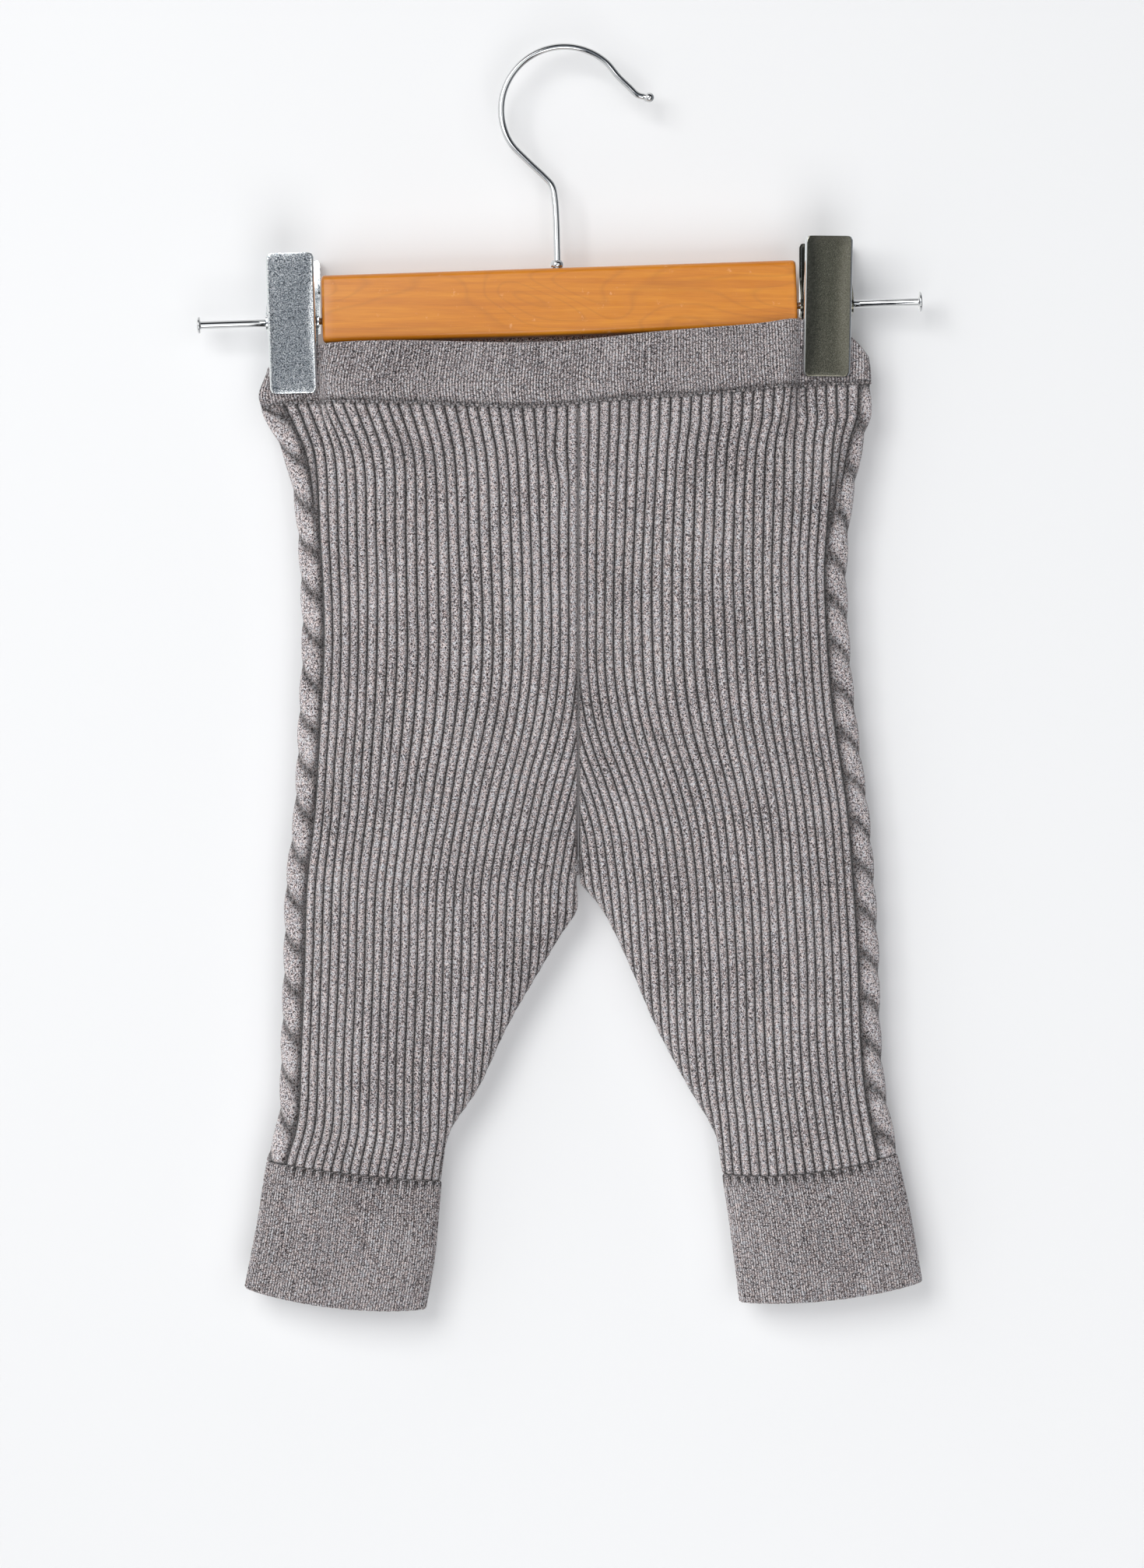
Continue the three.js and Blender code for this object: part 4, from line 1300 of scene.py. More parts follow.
@dataclass(frozen=True)
class Hanger:
    """The bar, its two rods, and the hook with its collar."""

    bar_length: float = 190.0
    bar_height: float = 27.0
    bar_thickness: float = 9.0
    bar_round: float = 2.5
    bar_x: float = -2.6
    bar_z: float = -101.1
    tilt: float = 1.87
    rod_radius: float = 1.5
    rod_drop: float = 4.5
    rod_reach: float = 145.4
    rod_seat: float = 14.0
    socket_seat: float = 14.3
    rod_socket: float = 1.8
    hook_socket: float = 1.6
    head_thickness: float = 1.3
    wire_radius: float = 1.3
    arc_radius: float = 25.3
    arc_middle: tuple[float, float] = (-0.6, -24.0)
    foot: tuple[float, float] = (-3.4, -99.0)
    ball: tuple[float, float, float] = (33.4, -19.1, 2.0)

    def bar(self) -> bpy.types.Object:
        """Makes the bar: a rounded rectangle carried along X and drawn in at the ends, with a socket in
        each end for a rod and one on top for the hook.

        Returns:
            The bar.
        """
        soft = 1.6
        turn = np.linspace(0, np.pi / 2, 7)
        reach = self.bar_length / 2 - soft + soft * np.sin(turn)
        inset = soft * (1 - np.cos(turn))
        x = np.concatenate([-reach[::-1], np.linspace(-90, 90, 31), reach])
        shrink = np.concatenate([inset[::-1], np.zeros(31), inset])
        loops = []
        for place, less in zip(x, shrink):
            loop = rounded_rectangle(self.bar_thickness / 2 - less, self.bar_height / 2 - less,
                                     max(self.bar_round - less * 0.5, 0.6), 10)
            loops.append(np.concatenate([np.full((len(loop), 1), place), loop], axis=1))
        points, faces = lofted(np.array(loops))
        bar = make_piece("bar_body", self.on_bar(points), faces)
        cutters = []
        for end in (-1, 1):
            middle = end * self.bar_length / 2
            low, high, wide = middle - self.socket_seat, middle + self.socket_seat, self.rod_socket
            at, tris = turned_shape([(0, low), (wide, low), (wide, high), (0, high)], 24)
            at[:, 2] -= self.rod_drop
            cutters.append(make_piece(f"socket{end}", self.on_bar(at), tris))
        high, wide = self.bar_height, self.hook_socket
        hole, tris = turned_shape([(0, 0), (wide, 0), (wide, high), (0, high)], 24)
        hole = np.stack([-hole[:, 2] + self.foot[0] - self.bar_x, hole[:, 1],
                         hole[:, 0] + self.foot[1] - self.bar_z - 1], -1)
        cutters.append(make_piece("hook_socket", self.on_bar(hole), tris))
        return sharpen(bored(bar, cutters), 32)

    def on_bar(self, points: Points) -> Points:
        """Moves points from the bar's own frame to where it hangs.

        Args:
            points: points about the bar's middle.

        Returns:
            The points in place.
        """
        return placed(points, self.bar_x, self.bar_z, self.tilt)

    def rod(self, side: Side, head: float) -> bpy.types.Object:
        """Makes a rod with a domed nail head.

        Args:
            side: which end of the bar.
            head: radius of the head.

        Returns:
            The rod.
        """
        start, end, thick = self.bar_length / 2 - self.rod_seat, self.rod_reach, self.head_thickness
        dome = [(head * math.cos(a), end - thick * 0.62 + thick * 0.62 * math.sin(a))
                for a in np.linspace(0, np.pi / 2, 9)]
        dome[-1] = (0.0, end)
        profile = [(0, start), (1.2, start), (self.rod_radius, start + 0.3), (self.rod_radius, end - thick - 0.5),
                   (self.rod_radius + 0.15, end - thick - 0.12), (self.rod_radius + 0.5, end - thick),
                   (head - 0.25, end - thick), (head - 0.05, end - thick + 0.12), (head, end - thick + 0.3), *dome]
        points, faces = turned_shape(profile, 40)
        points = points * np.array([side.value, side.value, 1])
        points[:, 2] -= self.rod_drop
        return sharpen(make_piece(f"{side.name.lower()}_rod_wire", self.on_bar(points), faces), 50)

    def hook(self) -> bpy.types.Object:
        """Makes the hook: a wire from the bar up round the rail, swelling into a ball at its tip.

        Returns:
            The hook.
        """
        fx, fz = self.foot
        angle = np.radians(212 - 180 * np.arange(12) / 11)
        bend = [(fx, fz), (fx - 0.1, -80), (-4.4, -60), (-5.6, -54.4), (-8.6, -50.9), (-15.4, -44.5)]
        arc = np.array(self.arc_middle) + self.arc_radius * layered(np.cos(angle), np.sin(angle))
        bx, bz, br = self.ball
        tip = [(25.6, -15.2), (28.6, -18), (bx - 0.6, bz)]
        route = np.concatenate([bend, arc, tip])
        path = soft_path(np.stack([route[:, 0], np.zeros(len(route)), route[:, 1]], -1), 14)
        middle = np.array([bx, 0.0, bz])
        turn = np.linspace(0, np.pi, 15)[1:-1]
        heading = middle - path[-1]
        heading /= np.linalg.norm(heading)
        path = path[np.linalg.norm(path - middle, axis=1) > br * 0.95]
        beads = middle[None, :] - heading[None, :] * (br * np.cos(turn))[:, None]
        keep = np.cos(turn) < 0.74
        path = np.concatenate([path, beads[keep]])
        radii = np.concatenate([np.full(len(path) - keep.sum(), self.wire_radius), br * np.sin(turn[keep])])
        across = np.broadcast_to(np.array([0.0, 1.0, 0.0]), path.shape)
        points, faces = closed_tube(path, across, radii, 28)
        return sharpen(make_piece("hook_wire", points, faces), 55)

    def collar(self) -> bpy.types.Object:
        """Makes the collar at the foot of the hook, a small turned ring.

        Returns:
            The collar.
        """
        turn = np.linspace(-np.pi / 2, np.pi / 2, 9)
        profile = [(1.6, 0.0), (2.3, 0.0), *[(2.2 + 0.45 * math.cos(a), 1.25 + 1.2 * math.sin(a)) for a in turn],
                   (2.05, 2.8), (1.6, 2.8)]
        points, faces = turned_shape(profile, 40)
        points = np.stack([-points[:, 2] + self.foot[0] - 0.2, points[:, 1], points[:, 0] - 87.3], -1)
        return sharpen(make_piece("collar_ring", points, faces), 50)


@dataclass(frozen=True)
class PressedClip:
    """A clip on a rod: two pressed plates with lips that bite the cloth, and the coil spring between."""

    clip: Clip
    name: str
    reach_up: float = 26.0
    reach_down: float = 29.0
    half: float = 9.5
    sheet: float = 0.8
    bend: float = 1.2
    low_gap: float = 4.05
    high_gap: float = 12.0
    bore: float = 2.3
    back_room: float = 1.1
    lip_half: float = 8.3
    lip_z: float = -28.4

    def inner(self, z: np.ndarray | float) -> np.ndarray:
        """Where the inner face of the front plate lies.

        Args:
            z: heights about the rod.

        Returns:
            Places along Y.
        """
        slope = (self.high_gap - self.low_gap) / (self.reach_up + self.reach_down)
        return -(self.low_gap + (np.asarray(z, float) + self.reach_down) * slope)

    def in_place(self, points: Points) -> Points:
        """Moves points from the clip's own frame to where it hangs.

        Args:
            points: points about the middle of the rod's hole.

        Returns:
            The points in place.
        """
        return placed(points, self.clip.x, self.clip.z, self.clip.tilt)

    def plate(self, face: Face) -> bpy.types.Object:
        """Makes one plate: a tray section with turned-in sides that deepen into ears round the rod.

        Args:
            face: front or back; the back plate is wider, so that its ears pass outside the front one's.

        Returns:
            The plate.
        """
        back = face is Face.BACK
        z = np.unique(np.concatenate([np.linspace(-28.6, 25.6, 44), [-29, -28.9, 25.9, 26],
                                      np.linspace(-5, -2.6, 9), np.linspace(-2.4, 4, 13)]))
        inner = self.inner(z)
        ear_z = np.array([-4.4, -3.4, -3.0, -1.6, 0, 1.6, 3.0, 12, 26])
        ear_y = np.array([self.inner(-4.4) + 0.5, -2.2, 2.2, 3.3, 3.6, 3.3, 2.2, self.inner(12) + 1,
                          self.inner(26) + 1])
        low = inner + (0.45 if back else 1.0)
        flange = np.where(z < -4.4, low, np.interp(z, ear_z, ear_y))
        half = self.half + (np.where(z > -4.4, self.back_room, 0.0) if back else 0.0)
        trim = 1.6 * (1 - np.sqrt(1 - np.clip((np.maximum(z - 24.4, -27.4 - z)) / 1.6, 0, 1) ** 2))
        half = half - (trim if not back else np.where(z > 0, trim, 0))
        angle = np.linspace(0, np.pi / 2, 8)
        dome = 0.35 * np.sin(np.pi * np.clip((z + 29) / 55, 0, 1)) ** 0.5
        side_t = np.linspace(0, 1, 7)[:-1]
        face_t = np.linspace(-1, 1, 25)[1:-1]

        def path(offset: float) -> Points:
            """The plate's section at each height, moved inwards.

            Args:
                offset: how far inwards.

            Returns:
                Points, rows by columns by three.
            """
            outer_y = inner - self.sheet
            r = self.bend - offset
            centre_y = outer_y + self.bend
            wing = layered((half - offset)[:, None],
                           flange[:, None] + (centre_y - flange)[:, None] * side_t[None, :])
            bend = layered((half - self.bend)[:, None] + r * np.cos(angle), centre_y[:, None] - r * np.sin(angle))
            flat = layered((half - self.bend)[:, None] * -face_t[None, :],
                           (outer_y + offset)[:, None] - dome[:, None] * (1 - face_t[None, :] ** 4))
            right = np.concatenate([wing, bend], axis=1)
            left = right[:, ::-1] * np.array([-1, 1])
            section = np.concatenate([right, flat, left], axis=1)
            return np.concatenate([section, np.broadcast_to(z[:, None, None], (*section.shape[:2], 1))], axis=2)

        shells = [path(0.0), path(self.sheet)]
        rows, columns = shells[0].shape[:2]
        outer_ids = np.arange(rows * columns).reshape(rows, columns)
        inner_ids = outer_ids + rows * columns
        loop = np.concatenate([outer_ids, inner_ids[:, ::-1], outer_ids[:, :1]], axis=1)
        caps = [grid_faces(np.stack([outer_ids[i], inner_ids[i]])[:, ::flip]) for i, flip in ((0, -1), (-1, 1))]
        plate = np.concatenate([shell.reshape(-1, 3) for shell in shells])
        y0 = float(self.inner(-self.reach_down))
        lip = rounded_rectangle(0.85, 0.6, 0.3, 5)
        lip_loops = np.array([layered(x, lip[:, 0] + y0 + 0.45, lip[:, 1] + self.lip_z)
                              for x in np.linspace(-self.lip_half, self.lip_half, 9)])
        points, faces = together((plate, np.concatenate([grid_faces(loop), *caps])), lofted(lip_loops))
        if back:
            points = points * np.array([-1, -1, 1])
        name = f"{self.name}_{'back' if back else 'front'}_plate"
        piece = make_piece(name, self.in_place(points), faces)
        hole, tris = turned_shape([(0, -16), (self.bore, -16), (self.bore, 16), (0, 16)], 32)
        cutter = make_piece("bore", self.in_place(hole), tris)
        return sharpen(bored(piece, [cutter]), 35)

    def spring(self) -> bpy.types.Object:
        """Makes the coil spring round the rod, ten turns of round wire.

        Returns:
            The spring.
        """
        turns, wire, radius, length = 10, 0.52, 2.66, 14
        angle = np.linspace(0, 2 * np.pi * turns, turns * 24 + 1)
        across = layered(0.0, np.cos(angle), np.sin(angle))
        path = across * radius
        path[:, 0] = (angle / angle[-1] - 0.5) * length
        points, faces = closed_tube(path, across, np.full(len(path), wire), 10)
        return make_piece(f"{self.name}_coil", self.in_place(points), faces)


def linear(code: str) -> tuple[float, float, float, float]:
    """Turns an sRGB hex colour into the linear values that Blender works in.

    Args:
        code: six hex digits.

    Returns:
        Red, green, blue and 1.
    """
    parts = [int(code[i:i + 2], 16) / 255 for i in (0, 2, 4)]
    return (*(c / 12.92 if c <= 0.04045 else ((c + 0.055) / 1.055) ** 2.4 for c in parts), 1.0)


@dataclass(frozen=True)
class KnitFinish:
    """How a knit looks: the heather's fibres from dark to pale, the depth of its stitches in millimetres, how
    light the painted shade leaves its valleys, and how unlike each other its wales are."""

    name: str
    dark: str
    middle: str
    light: str
    pale: str
    stitch: float
    valley: float
    streak: float


# Cotton jersey yarn spun from mixed greys, knitted in broad rib and worn soft
BROAD_RIB = KnitFinish("heather_cotton_broad_rib_knit", "3a3537", "b8b1b2", "ebe4e4", "ffffff", 0.3, 0.02, 0.1)
# The same yarn in a finer, tighter rib at the waist and the cuffs
FINE_RIB = KnitFinish("heather_cotton_fine_rib_knit", "3d383a", "b0a9aa", "e0d9da", "ffffff", 0.26, 0.05, 0.24)


@dataclass
class Shader:
    """The node tree of a material or of the world, to which nodes are added with their settings and links."""

    owner: bpy.types.Material | bpy.types.World

    def __post_init__(self) -> None:
        """Empties the tree.

        Returns:
            None.
        """
        self.owner.use_nodes = True
        self.tree = self.owner.node_tree
        self.tree.nodes.clear()

    def add(self, kind: str, inputs: dict | None = None, **settings: object) -> bpy.types.Node:
        """Adds a node.

        Args:
            kind: the node's type, without the words ShaderNode.
            inputs: values or other nodes' outputs for its inputs, by name or number.
            settings: its properties.

        Returns:
            The node.
        """
        node = self.tree.nodes.new(f"ShaderNode{kind}")
        for key, value in settings.items():
            setattr(node, key, value)
        for key, value in (inputs or {}).items():
            if isinstance(value, bpy.types.NodeSocket):
                self.tree.links.new(value, node.inputs[key])
            else:
                node.inputs[key].default_value = value
        return node

    def math(self, operation: str, a: object, b: object = 0.0) -> bpy.types.NodeSocket:
        """Adds one step of arithmetic.

        Args:
            operation: the Math node's operation.
            a: its first value or an output.
            b: its second value or an output.

        Returns:
            The result.
        """
        return self.add("Math", {0: a, 1: b}, operation=operation).outputs[0]

    def swing(self, noise: bpy.types.Node, amount: float) -> bpy.types.NodeSocket:
        """Centres a noise on 0 and scales it.

        Args:
            noise: the noise's node.
            amount: its new size.

        Returns:
            The result.
        """
        return self.math("MULTIPLY", self.math("SUBTRACT", noise.outputs["Fac"], 0.5), amount)

    def zigzag(self, value: bpy.types.NodeSocket) -> bpy.types.NodeSocket:
        """A zigzag that is 0.5 at whole values and 0 half way between them.

        Args:
            value: where to read it.

        Returns:
            The result.
        """
        return self.math("ABSOLUTE", self.math("SUBTRACT", self.math("FRACT", value), 0.5))

    def arch(self, value: bpy.types.NodeSocket) -> bpy.types.NodeSocket:
        """A round arch that is 0 at values 0 and 1, and 1 half way between them.

        Args:
            value: where to read it.

        Returns:
            The result.
        """
        off = self.math("SUBTRACT", self.math("MULTIPLY", value, 2.0), 1.0)
        return self.math("SUBTRACT", 1.0, self.math("MULTIPLY", off, off))

    def ramp(self, value: bpy.types.NodeSocket, stops: list[tuple[float, str]]) -> bpy.types.NodeSocket:
        """Adds a colour ramp.

        Args:
            value: where on the ramp.
            stops: places from 0 to 1 and their sRGB hex colours.

        Returns:
            The colour.
        """
        node = self.add("ValToRGB", {"Fac": value})
        elements = node.color_ramp.elements
        while len(elements) < len(stops):
            elements.new(0.5)
        for element, (place, code) in zip(elements, stops):
            element.position = place
            element.color = linear(code)
        return node.outputs["Color"]

    def surface(self, inputs: dict) -> bpy.types.Material:
        """Ends the tree with a surface.

        Args:
            inputs: the surface's values and links.

        Returns:
            The material.
        """
        body = self.add("BsdfPrincipled", inputs)
        self.add("OutputMaterial", {"Surface": body.outputs[0]})
        return self.owner


def knit_material(finish: KnitFinish) -> bpy.types.Material:
    """A knit whose stitches are rows of small Vs: in each wale two slanting legs, round across and along,
    flecked stitch by stitch and streaked wale by wale, with fine fibre over them, and painted shade in the
    valleys, at the seam ends and in the hollows between the stitches' legs.

    Args:
        finish: the knit.

    Returns:
        The material.
    """
    s = Shader(bpy.data.materials.new(finish.name))
    layer = s.add("Attribute", attribute_name="knit", attribute_type="GEOMETRY")
    parts = s.add("SeparateXYZ", {0: layer.outputs["Vector"]})
    wale, course, rise = parts.outputs[0], parts.outputs[1], parts.outputs[2]
    across = s.math("MULTIPLY", s.zigzag(wale), 2.0)
    slanted = s.math("ADD", course, s.math("MULTIPLY", across, 0.6))
    leg, width = s.arch(s.math("FRACT", slanted)), s.arch(across)
    stitch = s.math("MULTIPLY", leg, s.math("POWER", s.math("MAXIMUM", width, 0.0), 0.5))

    spread = s.add("CombineXYZ", {0: s.math("MULTIPLY", wale, 1.2), 1: s.math("MULTIPLY", slanted, 1.1)})
    fleck = s.add("TexNoise", {"Vector": spread.outputs[0], "Scale": 1.0, "Detail": 4.0, "Roughness": 0.8})
    place = s.add("TexCoord").outputs["Object"]
    fibre = s.add("TexNoise", {"Vector": place, "Scale": 2000.0, "Detail": 2.0, "Roughness": 0.6})
    cloud = s.add("TexNoise", {"Vector": place, "Scale": 38.0, "Detail": 2.0, "Roughness": 0.5})
    drawn = s.add("CombineXYZ", {0: s.math("MULTIPLY", wale, 1.6), 1: s.math("MULTIPLY", course, 0.05)})
    streak = s.add("TexNoise", {"Vector": drawn.outputs[0], "Scale": 1.0, "Detail": 1.0, "Roughness": 0.5})
    mixed = fleck.outputs["Fac"]
    for noise, amount in ((fibre, 1.25), (cloud, 0.12), (streak, finish.streak)):
        mixed = s.math("ADD", mixed, s.swing(noise, amount))
    heather = s.ramp(mixed, [(0.37, finish.dark), (0.465, finish.middle), (0.53, finish.light), (0.61, finish.pale)])
    dyed = s.add("TexNoise", {"Vector": place, "Scale": 900.0, "Detail": 3.0, "Roughness": 0.7})
    tint = s.ramp(dyed.outputs["Fac"], [(0.4, "ffe9e6"), (0.6, "e8edf8")])
    heather = s.add("MixRGB", {0: 0.6, 1: heather, 2: tint}, blend_type="MULTIPLY").outputs[0]
    # Painted shade: the colour darkens where the knit attribute's third value is low, down the ribs' valleys and at
    # the seam ends, and darkens again in the hollows between the stitches' legs.
    crest = s.math("POWER", s.math("MAXIMUM", rise, 0.0), 1.5)
    shade = s.math("ADD", finish.valley, s.math("MULTIPLY", crest, 1.0 - finish.valley))
    stitch_hollow_shade = s.math("ADD", 0.72, s.math("MULTIPLY", stitch, 0.28))
    both = s.math("MULTIPLY", shade, stitch_hollow_shade)
    tone = s.add("CombineColor", {0: both, 1: both, 2: both})
    colour = s.add("MixRGB", {0: 1.0, 1: heather, 2: tone.outputs[0]}, blend_type="MULTIPLY")
    raised = s.math("ADD", stitch, s.math("MULTIPLY", fibre.outputs["Fac"], 0.5))
    bump = s.add("Bump", {"Strength": 0.9, "Distance": finish.stitch * MM, "Height": raised})
    return s.surface({"Base Color": colour.outputs[0], "Roughness": 0.93, "Specular IOR Level": 0.2,
                      "Sheen Weight": 0.25, "Sheen Roughness": 0.5, "Normal": bump.outputs[0]})


def wood_material() -> bpy.types.Material:
    """Pale hardwood stained orange under a satin varnish, with faint grain along the bar and small rubs.

    Returns:
        The material.
    """
    s = Shader(bpy.data.materials.new("orange_varnished_hardwood"))
    place = s.add("TexCoord").outputs["Object"]
    along = s.add("Mapping", {"Vector": place, "Scale": (18.0, 420.0, 420.0)})
    grain = s.add("TexNoise", {"Vector": along.outputs[0], "Scale": 1.0, "Detail": 5.0, "Roughness": 0.6,
                               "Distortion": 0.6})
    pores = s.add("Mapping", {"Vector": place, "Scale": (140.0, 2600.0, 2600.0)})
    pore = s.add("TexNoise", {"Vector": pores.outputs[0], "Scale": 1.0, "Detail": 2.0})
    tone = s.math("ADD", grain.outputs["Fac"], s.swing(pore, 0.3))
    colour = s.ramp(tone, [(0.3, "c17218"), (0.48, "ca7b19"), (0.7, "d58920")])
    swirl = s.add("Mapping", {"Vector": place, "Scale": (13.0, 42.0, 42.0)})
    rings = s.add("TexNoise", {"Vector": swirl.outputs[0], "Scale": 1.0, "Detail": 1.0, "Distortion": 0.4})
    line = s.zigzag(s.math("MULTIPLY", rings.outputs["Fac"], 11.0))
    thin = s.add("MapRange", {"Value": line, "From Min": 0.0, "From Max": 0.16, "To Min": 0.18, "To Max": 0.0})
    colour = s.add("MixRGB", {0: thin.outputs[0], 1: colour, 2: linear("8f5420")}).outputs[0]
    rub = s.add("TexNoise", {"Vector": place, "Scale": 210.0, "Detail": 6.0, "Roughness": 0.75})
    worn = s.add("MapRange", {"Value": rub.outputs["Fac"], "From Min": 0.62, "From Max": 0.7, "To Min": 0.0,
                              "To Max": 0.5})
    pale = s.add("MixRGB", {0: worn.outputs[0], 1: colour, 2: linear("e8b07a")})
    rough = s.add("MapRange", {"Value": rub.outputs["Fac"], "From Min": 0.35, "From Max": 0.7, "To Min": 0.3,
                               "To Max": 0.5})
    bump = s.add("Bump", {"Strength": 0.25, "Distance": 0.05 * MM, "Height": tone})
    return s.surface({"Base Color": pale.outputs[0], "Roughness": rough.outputs[0], "Coat Weight": 0.2,
                      "Coat Roughness": 0.25, "Normal": bump.outputs[0]})


def chrome_material() -> bpy.types.Material:
    """Drawn steel wire, bright plated, with faint handling marks.

    Returns:
        The material.
    """
    s = Shader(bpy.data.materials.new("chrome_plated_steel_wire"))
    place = s.add("TexCoord").outputs["Object"]
    marks = s.add("TexNoise", {"Vector": place, "Scale": 420.0, "Detail": 5.0, "Roughness": 0.7})
    rough = s.add("MapRange", {"Value": marks.outputs["Fac"], "From Min": 0.4, "From Max": 0.7, "To Min": 0.05,
                               "To Max": 0.14})
    return s.surface({"Base Color": linear("c6c8ca"), "Metallic": 1.0, "Roughness": rough.outputs[0]})


def steel_material() -> bpy.types.Material:
    """Pressed sheet steel with dull zinc plating: mottled, bluish on the left-hand clip and browner where
    it has dulled on the right-hand one, with a painted highlight, a paler colour, where the bent sides turn
    sideways.

    Returns:
        The material.
    """
    s = Shader(bpy.data.materials.new("zinc_plated_pressed_steel"))
    place = s.add("TexCoord").outputs["Object"]
    mottle = s.add("TexNoise", {"Vector": place, "Scale": 2600.0, "Detail": 3.0, "Roughness": 0.7})
    bluish = s.ramp(mottle.outputs["Fac"], [(0.42, "59626a"), (0.5, "d6dee4"), (0.56, "ffffff")])
    dull = s.ramp(mottle.outputs["Fac"], [(0.36, "4e4d44"), (0.5, "5d5c52"), (0.64, "6e6d63")])
    x = s.add("SeparateXYZ", {0: place}).outputs[0]
    side = s.add("MapRange", {"Value": x, "From Min": -0.05, "From Max": 0.05, "To Min": 0.0, "To Max": 1.0})
    colour = s.add("MixRGB", {0: side.outputs[0], 1: bluish, 2: dull}).outputs[0]
    # Painted highlight: faces that turn towards the sides take a paler colour, standing for the light that the bent
    # sides catch.
    turned = s.add("SeparateXYZ", {0: s.add("TexCoord").outputs["Normal"]}).outputs[0]
    edge = s.add("MapRange", {"Value": s.math("ABSOLUTE", turned), "From Min": 0.25, "From Max": 0.6,
                              "To Min": 0.0, "To Max": 1.0})
    colour = s.add("MixRGB", {0: edge.outputs[0], 1: colour, 2: linear("dadddf")})
    rough = s.add("MapRange", {"Value": mottle.outputs["Fac"], "From Min": 0.3, "From Max": 0.7, "To Min": 0.1,
                               "To Max": 0.22})
    bump = s.add("Bump", {"Strength": 0.4, "Distance": 0.04 * MM, "Height": mottle.outputs["Fac"]})
    return s.surface({"Base Color": colour.outputs[0], "Metallic": 1.0, "Roughness": rough.outputs[0],
                      "Normal": bump.outputs[0]})


# The room's glow: dim and banded behind the camera, bright beside and behind the garment, dimmer to the right
FRONT_TO_BACK = [(0.02, "84898f"), (0.07, "4e5156"), (0.12, "1a1b1e"), (0.3, "222428"), (0.42, "f7f7f6")]
LEFT_TO_RIGHT = [(0.1, "ffffff"), (0.6, "f4f4f4"), (0.95, "909398")]
# A window at the left, which gives the metal its bright left-hand edges
WINDOW = [(0.2, "e2e3e3"), (0.3, "000000")]


@dataclass(frozen=True)
class Lamp:
    """A square light: its place and side in millimetres, its power in watts and its sRGB hex colour."""

    name: str
    at: tuple[float, float, float]
    size: float
    power: float
    colour: str


LAMPS = (
    Lamp("key", (-700, -1500, 350), 1000, 17.0, "fffefc"),
    Lamp("fill", (900, -1700, -200), 1400, 7.2, "fffefd"),
    Lamp("low", (150, -1500, -1300), 1200, 13.2, "fffefd"),
)


@dataclass(frozen=True)
class Studio:
    """The pale wall behind the garment, the lights and the camera, in millimetres."""

    wall_y: float = 15.0
    wall_half: float = 1600.0
    wall_colour: str = "ecedef"
    glow: float = 1.17
    aim_z: float = -260.0
    garment_y: float = -9.0
    camera_x: float = 2.5
    camera_z: float = -294.0
    field_height: float = 624.3
    lens: float = 90.0
    sensor: float = 36.0

    def wall(self) -> None:
        """Makes the wall, which shows from in front only and takes no light from the garment's back.

        Returns:
            None.
        """
        s = Shader(bpy.data.materials.new("matt_white_wall"))
        paint = s.add("BsdfDiffuse", {"Color": linear(self.wall_colour)})
        clear = s.add("BsdfTransparent")
        front = s.math("SUBTRACT", 1.0, s.add("NewGeometry").outputs["Backfacing"])
        seen = s.math("MULTIPLY", s.add("LightPath").outputs["Is Camera Ray"], front)
        both = s.add("MixShader", {0: seen, 1: clear.outputs[0], 2: paint.outputs[0]})
        s.add("OutputMaterial", {"Surface": both.outputs[0]})
        signs = ((-1, -1), (1, -1), (1, 1), (-1, 1))
        corners = np.array([[self.wall_half * x, self.wall_y, self.wall_half * z] for x, z in signs])
        mesh = bpy.data.meshes.new("wall")
        mesh.from_pydata((corners * MM).tolist(), [], [(0, 1, 2, 3)])
        mesh.materials.append(s.owner)
        wall = bpy.data.objects.new("wall", mesh)
        bpy.context.scene.collection.objects.link(wall)

    def light(self, lamp: Lamp) -> None:
        """Adds a light that faces the middle of the garment.

        Args:
            lamp: the light.

        Returns:
            None.
        """
        area = bpy.data.lights.new(lamp.name, "AREA")
        area.energy, area.size, area.color = lamp.power, lamp.size * MM, linear(lamp.colour)[:3]
        holder = bpy.data.objects.new(lamp.name, area)
        holder.location = Vector(lamp.at) * MM
        aim = Vector((0, 0, self.aim_z)) * MM - holder.location
        holder.rotation_euler = aim.to_track_quat("-Z", "Y").to_euler()
        bpy.context.scene.collection.objects.link(holder)

    def camera(self) -> None:
        """Adds the camera, square to the garment, so that the field is as high as the photo's.

        Returns:
            None.
        """
        lens = bpy.data.cameras.new("camera")
        lens.lens = self.lens
        lens.sensor_width = self.sensor
        away = self.field_height * self.lens / self.sensor
        holder = bpy.data.objects.new("camera", lens)
        holder.location = Vector((self.camera_x, self.garment_y - away, self.camera_z)) * MM
        holder.rotation_euler = (math.pi / 2, 0, 0)
        lens.clip_end = 50.0
        bpy.context.scene.collection.objects.link(holder)
        bpy.context.scene.camera = holder

    def build(self) -> None:
        """Makes the wall, the lights, the room's glow and the camera.

        Returns:
            None.
        """
        self.wall()
        for lamp in LAMPS:
            self.light(lamp)
        s = Shader(bpy.data.worlds.new("room"))
        along = s.add("SeparateXYZ", {0: s.add("TexCoord").outputs["Generated"]}).outputs
        across, away = (s.math("ADD", s.math("MULTIPLY", along[axis], 0.5), 0.5) for axis in (0, 1))
        glow = s.add("MixRGB", {0: 1.0, 1: s.ramp(away, FRONT_TO_BACK), 2: s.ramp(across, LEFT_TO_RIGHT)},
                     blend_type="MULTIPLY")
        glow = s.add("MixRGB", {0: 1.0, 1: glow.outputs[0], 2: s.ramp(across, WINDOW)}, blend_type="LIGHTEN")
        room = s.add("Background", {"Color": glow.outputs[0], "Strength": self.glow})
        s.add("OutputWorld", {"Surface": room.outputs[0]})
        bpy.context.scene.view_settings.view_transform = "Standard"
        bpy.context.scene.world = s.owner
        self.camera()


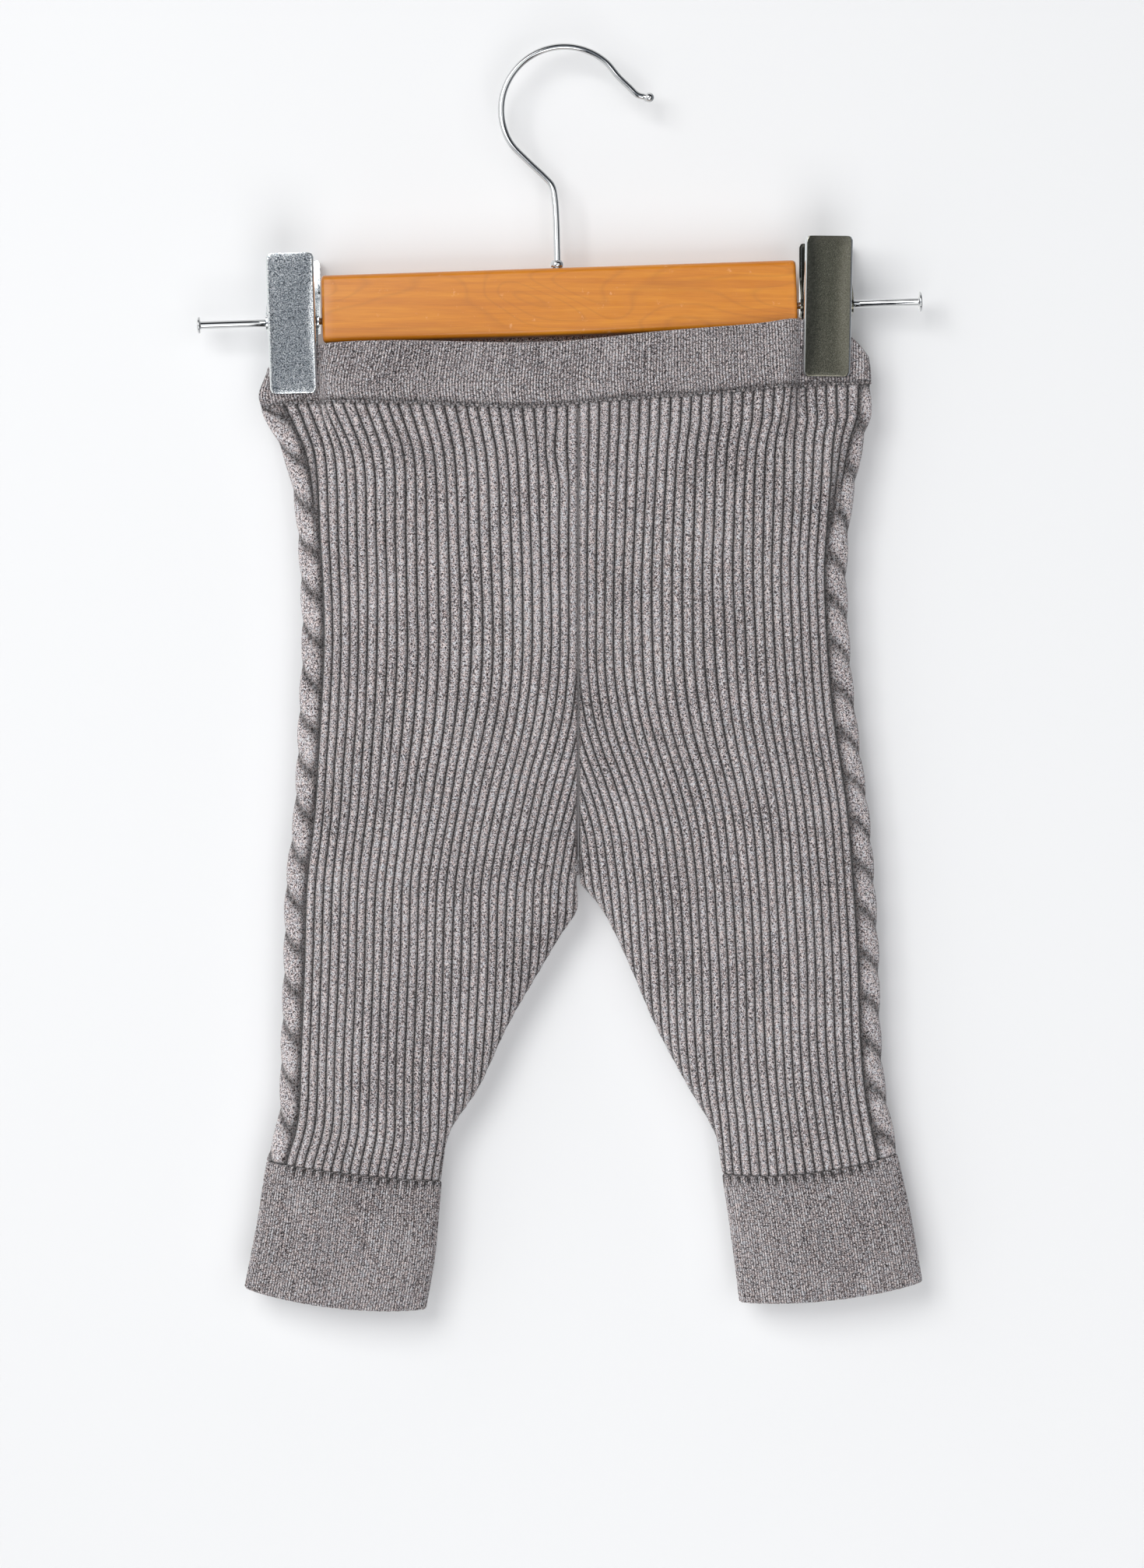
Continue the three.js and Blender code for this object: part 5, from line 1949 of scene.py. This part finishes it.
@dataclass(frozen=True)
class Piece:
    """A finished piece: its object, the slot of its finish, its material and the nodes it stands for."""

    thing: bpy.types.Object
    slot: str
    material: bpy.types.Material
    nodes: tuple[str, ...]

    def settle(self) -> None:
        """Gives the piece its material and ties it to the frame.

        Returns:
            None.
        """
        self.thing.data.materials.clear()
        self.thing.data.materials.append(self.material)
        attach(self.thing, "root")
        if self.nodes:
            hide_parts(*self.nodes)
        logging.info("%s: %d triangles", self.thing.name, len(self.thing.data.polygons))


def main() -> None:
    """Builds the leggings, the hanger and the studio.

    Returns:
        None.
    """
    logging.basicConfig(level=logging.INFO, format="%(message)s")
    broad, fine = knit_material(BROAD_RIB), knit_material(FINE_RIB)
    wood, chrome, steel = wood_material(), chrome_material(), steel_material()

    band = Piece(Waistband().build(), "rib_knit_fine", fine, ("waistband",))
    sides = (("left", LEFT_SIDE), ("right", RIGHT_SIDE))
    left_leg, right_leg = (
        Piece(LegPanel(f"{side}_leg_knit", sizes).build(), "rib_knit_broad", broad, (f"{side}_leg_panel",))
        for side, sizes in sides
    )
    left_cuff, right_cuff = (
        Piece(Cuff(f"{side}_cuff_knit", sizes).build(), "rib_knit_fine", fine, (f"{side}_cuff",))
        for side, sizes in sides
    )
    seam = Piece(LinkedSeam().build(), "rib_knit_fine", fine, ())
    knot = Piece(crotch_knot(), "rib_knit_broad", broad, ())
    cloth = [band, left_leg, right_leg, left_cuff, right_cuff, seam, knot]

    hanger = Hanger()
    hard = [
        Piece(hanger.bar(), "varnished_wood", wood, ("wooden_bar",)),
        Piece(hanger.rod(Side.LEFT, 3.3), "bright_wire", chrome, ("left_rod",)),
        Piece(hanger.rod(Side.RIGHT, 4.1), "bright_wire", chrome, ("right_rod",)),
        Piece(hanger.hook(), "bright_wire", chrome, ("hook",)),
        Piece(hanger.collar(), "bright_wire", chrome, ("hook_collar",)),
    ]
    for side, sizes in sides:
        clip = PressedClip(sizes.clip, f"{side}_clip")
        hard += [Piece(thing, "pressed_steel", steel, (f"{side}_clip_{node}",)) for thing, node in (
            (clip.plate(Face.FRONT), "front"), (clip.plate(Face.BACK), "back"), (clip.spring(), "spring"))]
    for piece in cloth + hard:
        piece.settle()

    Studio().build()


if __name__ == "__main__":
    main()
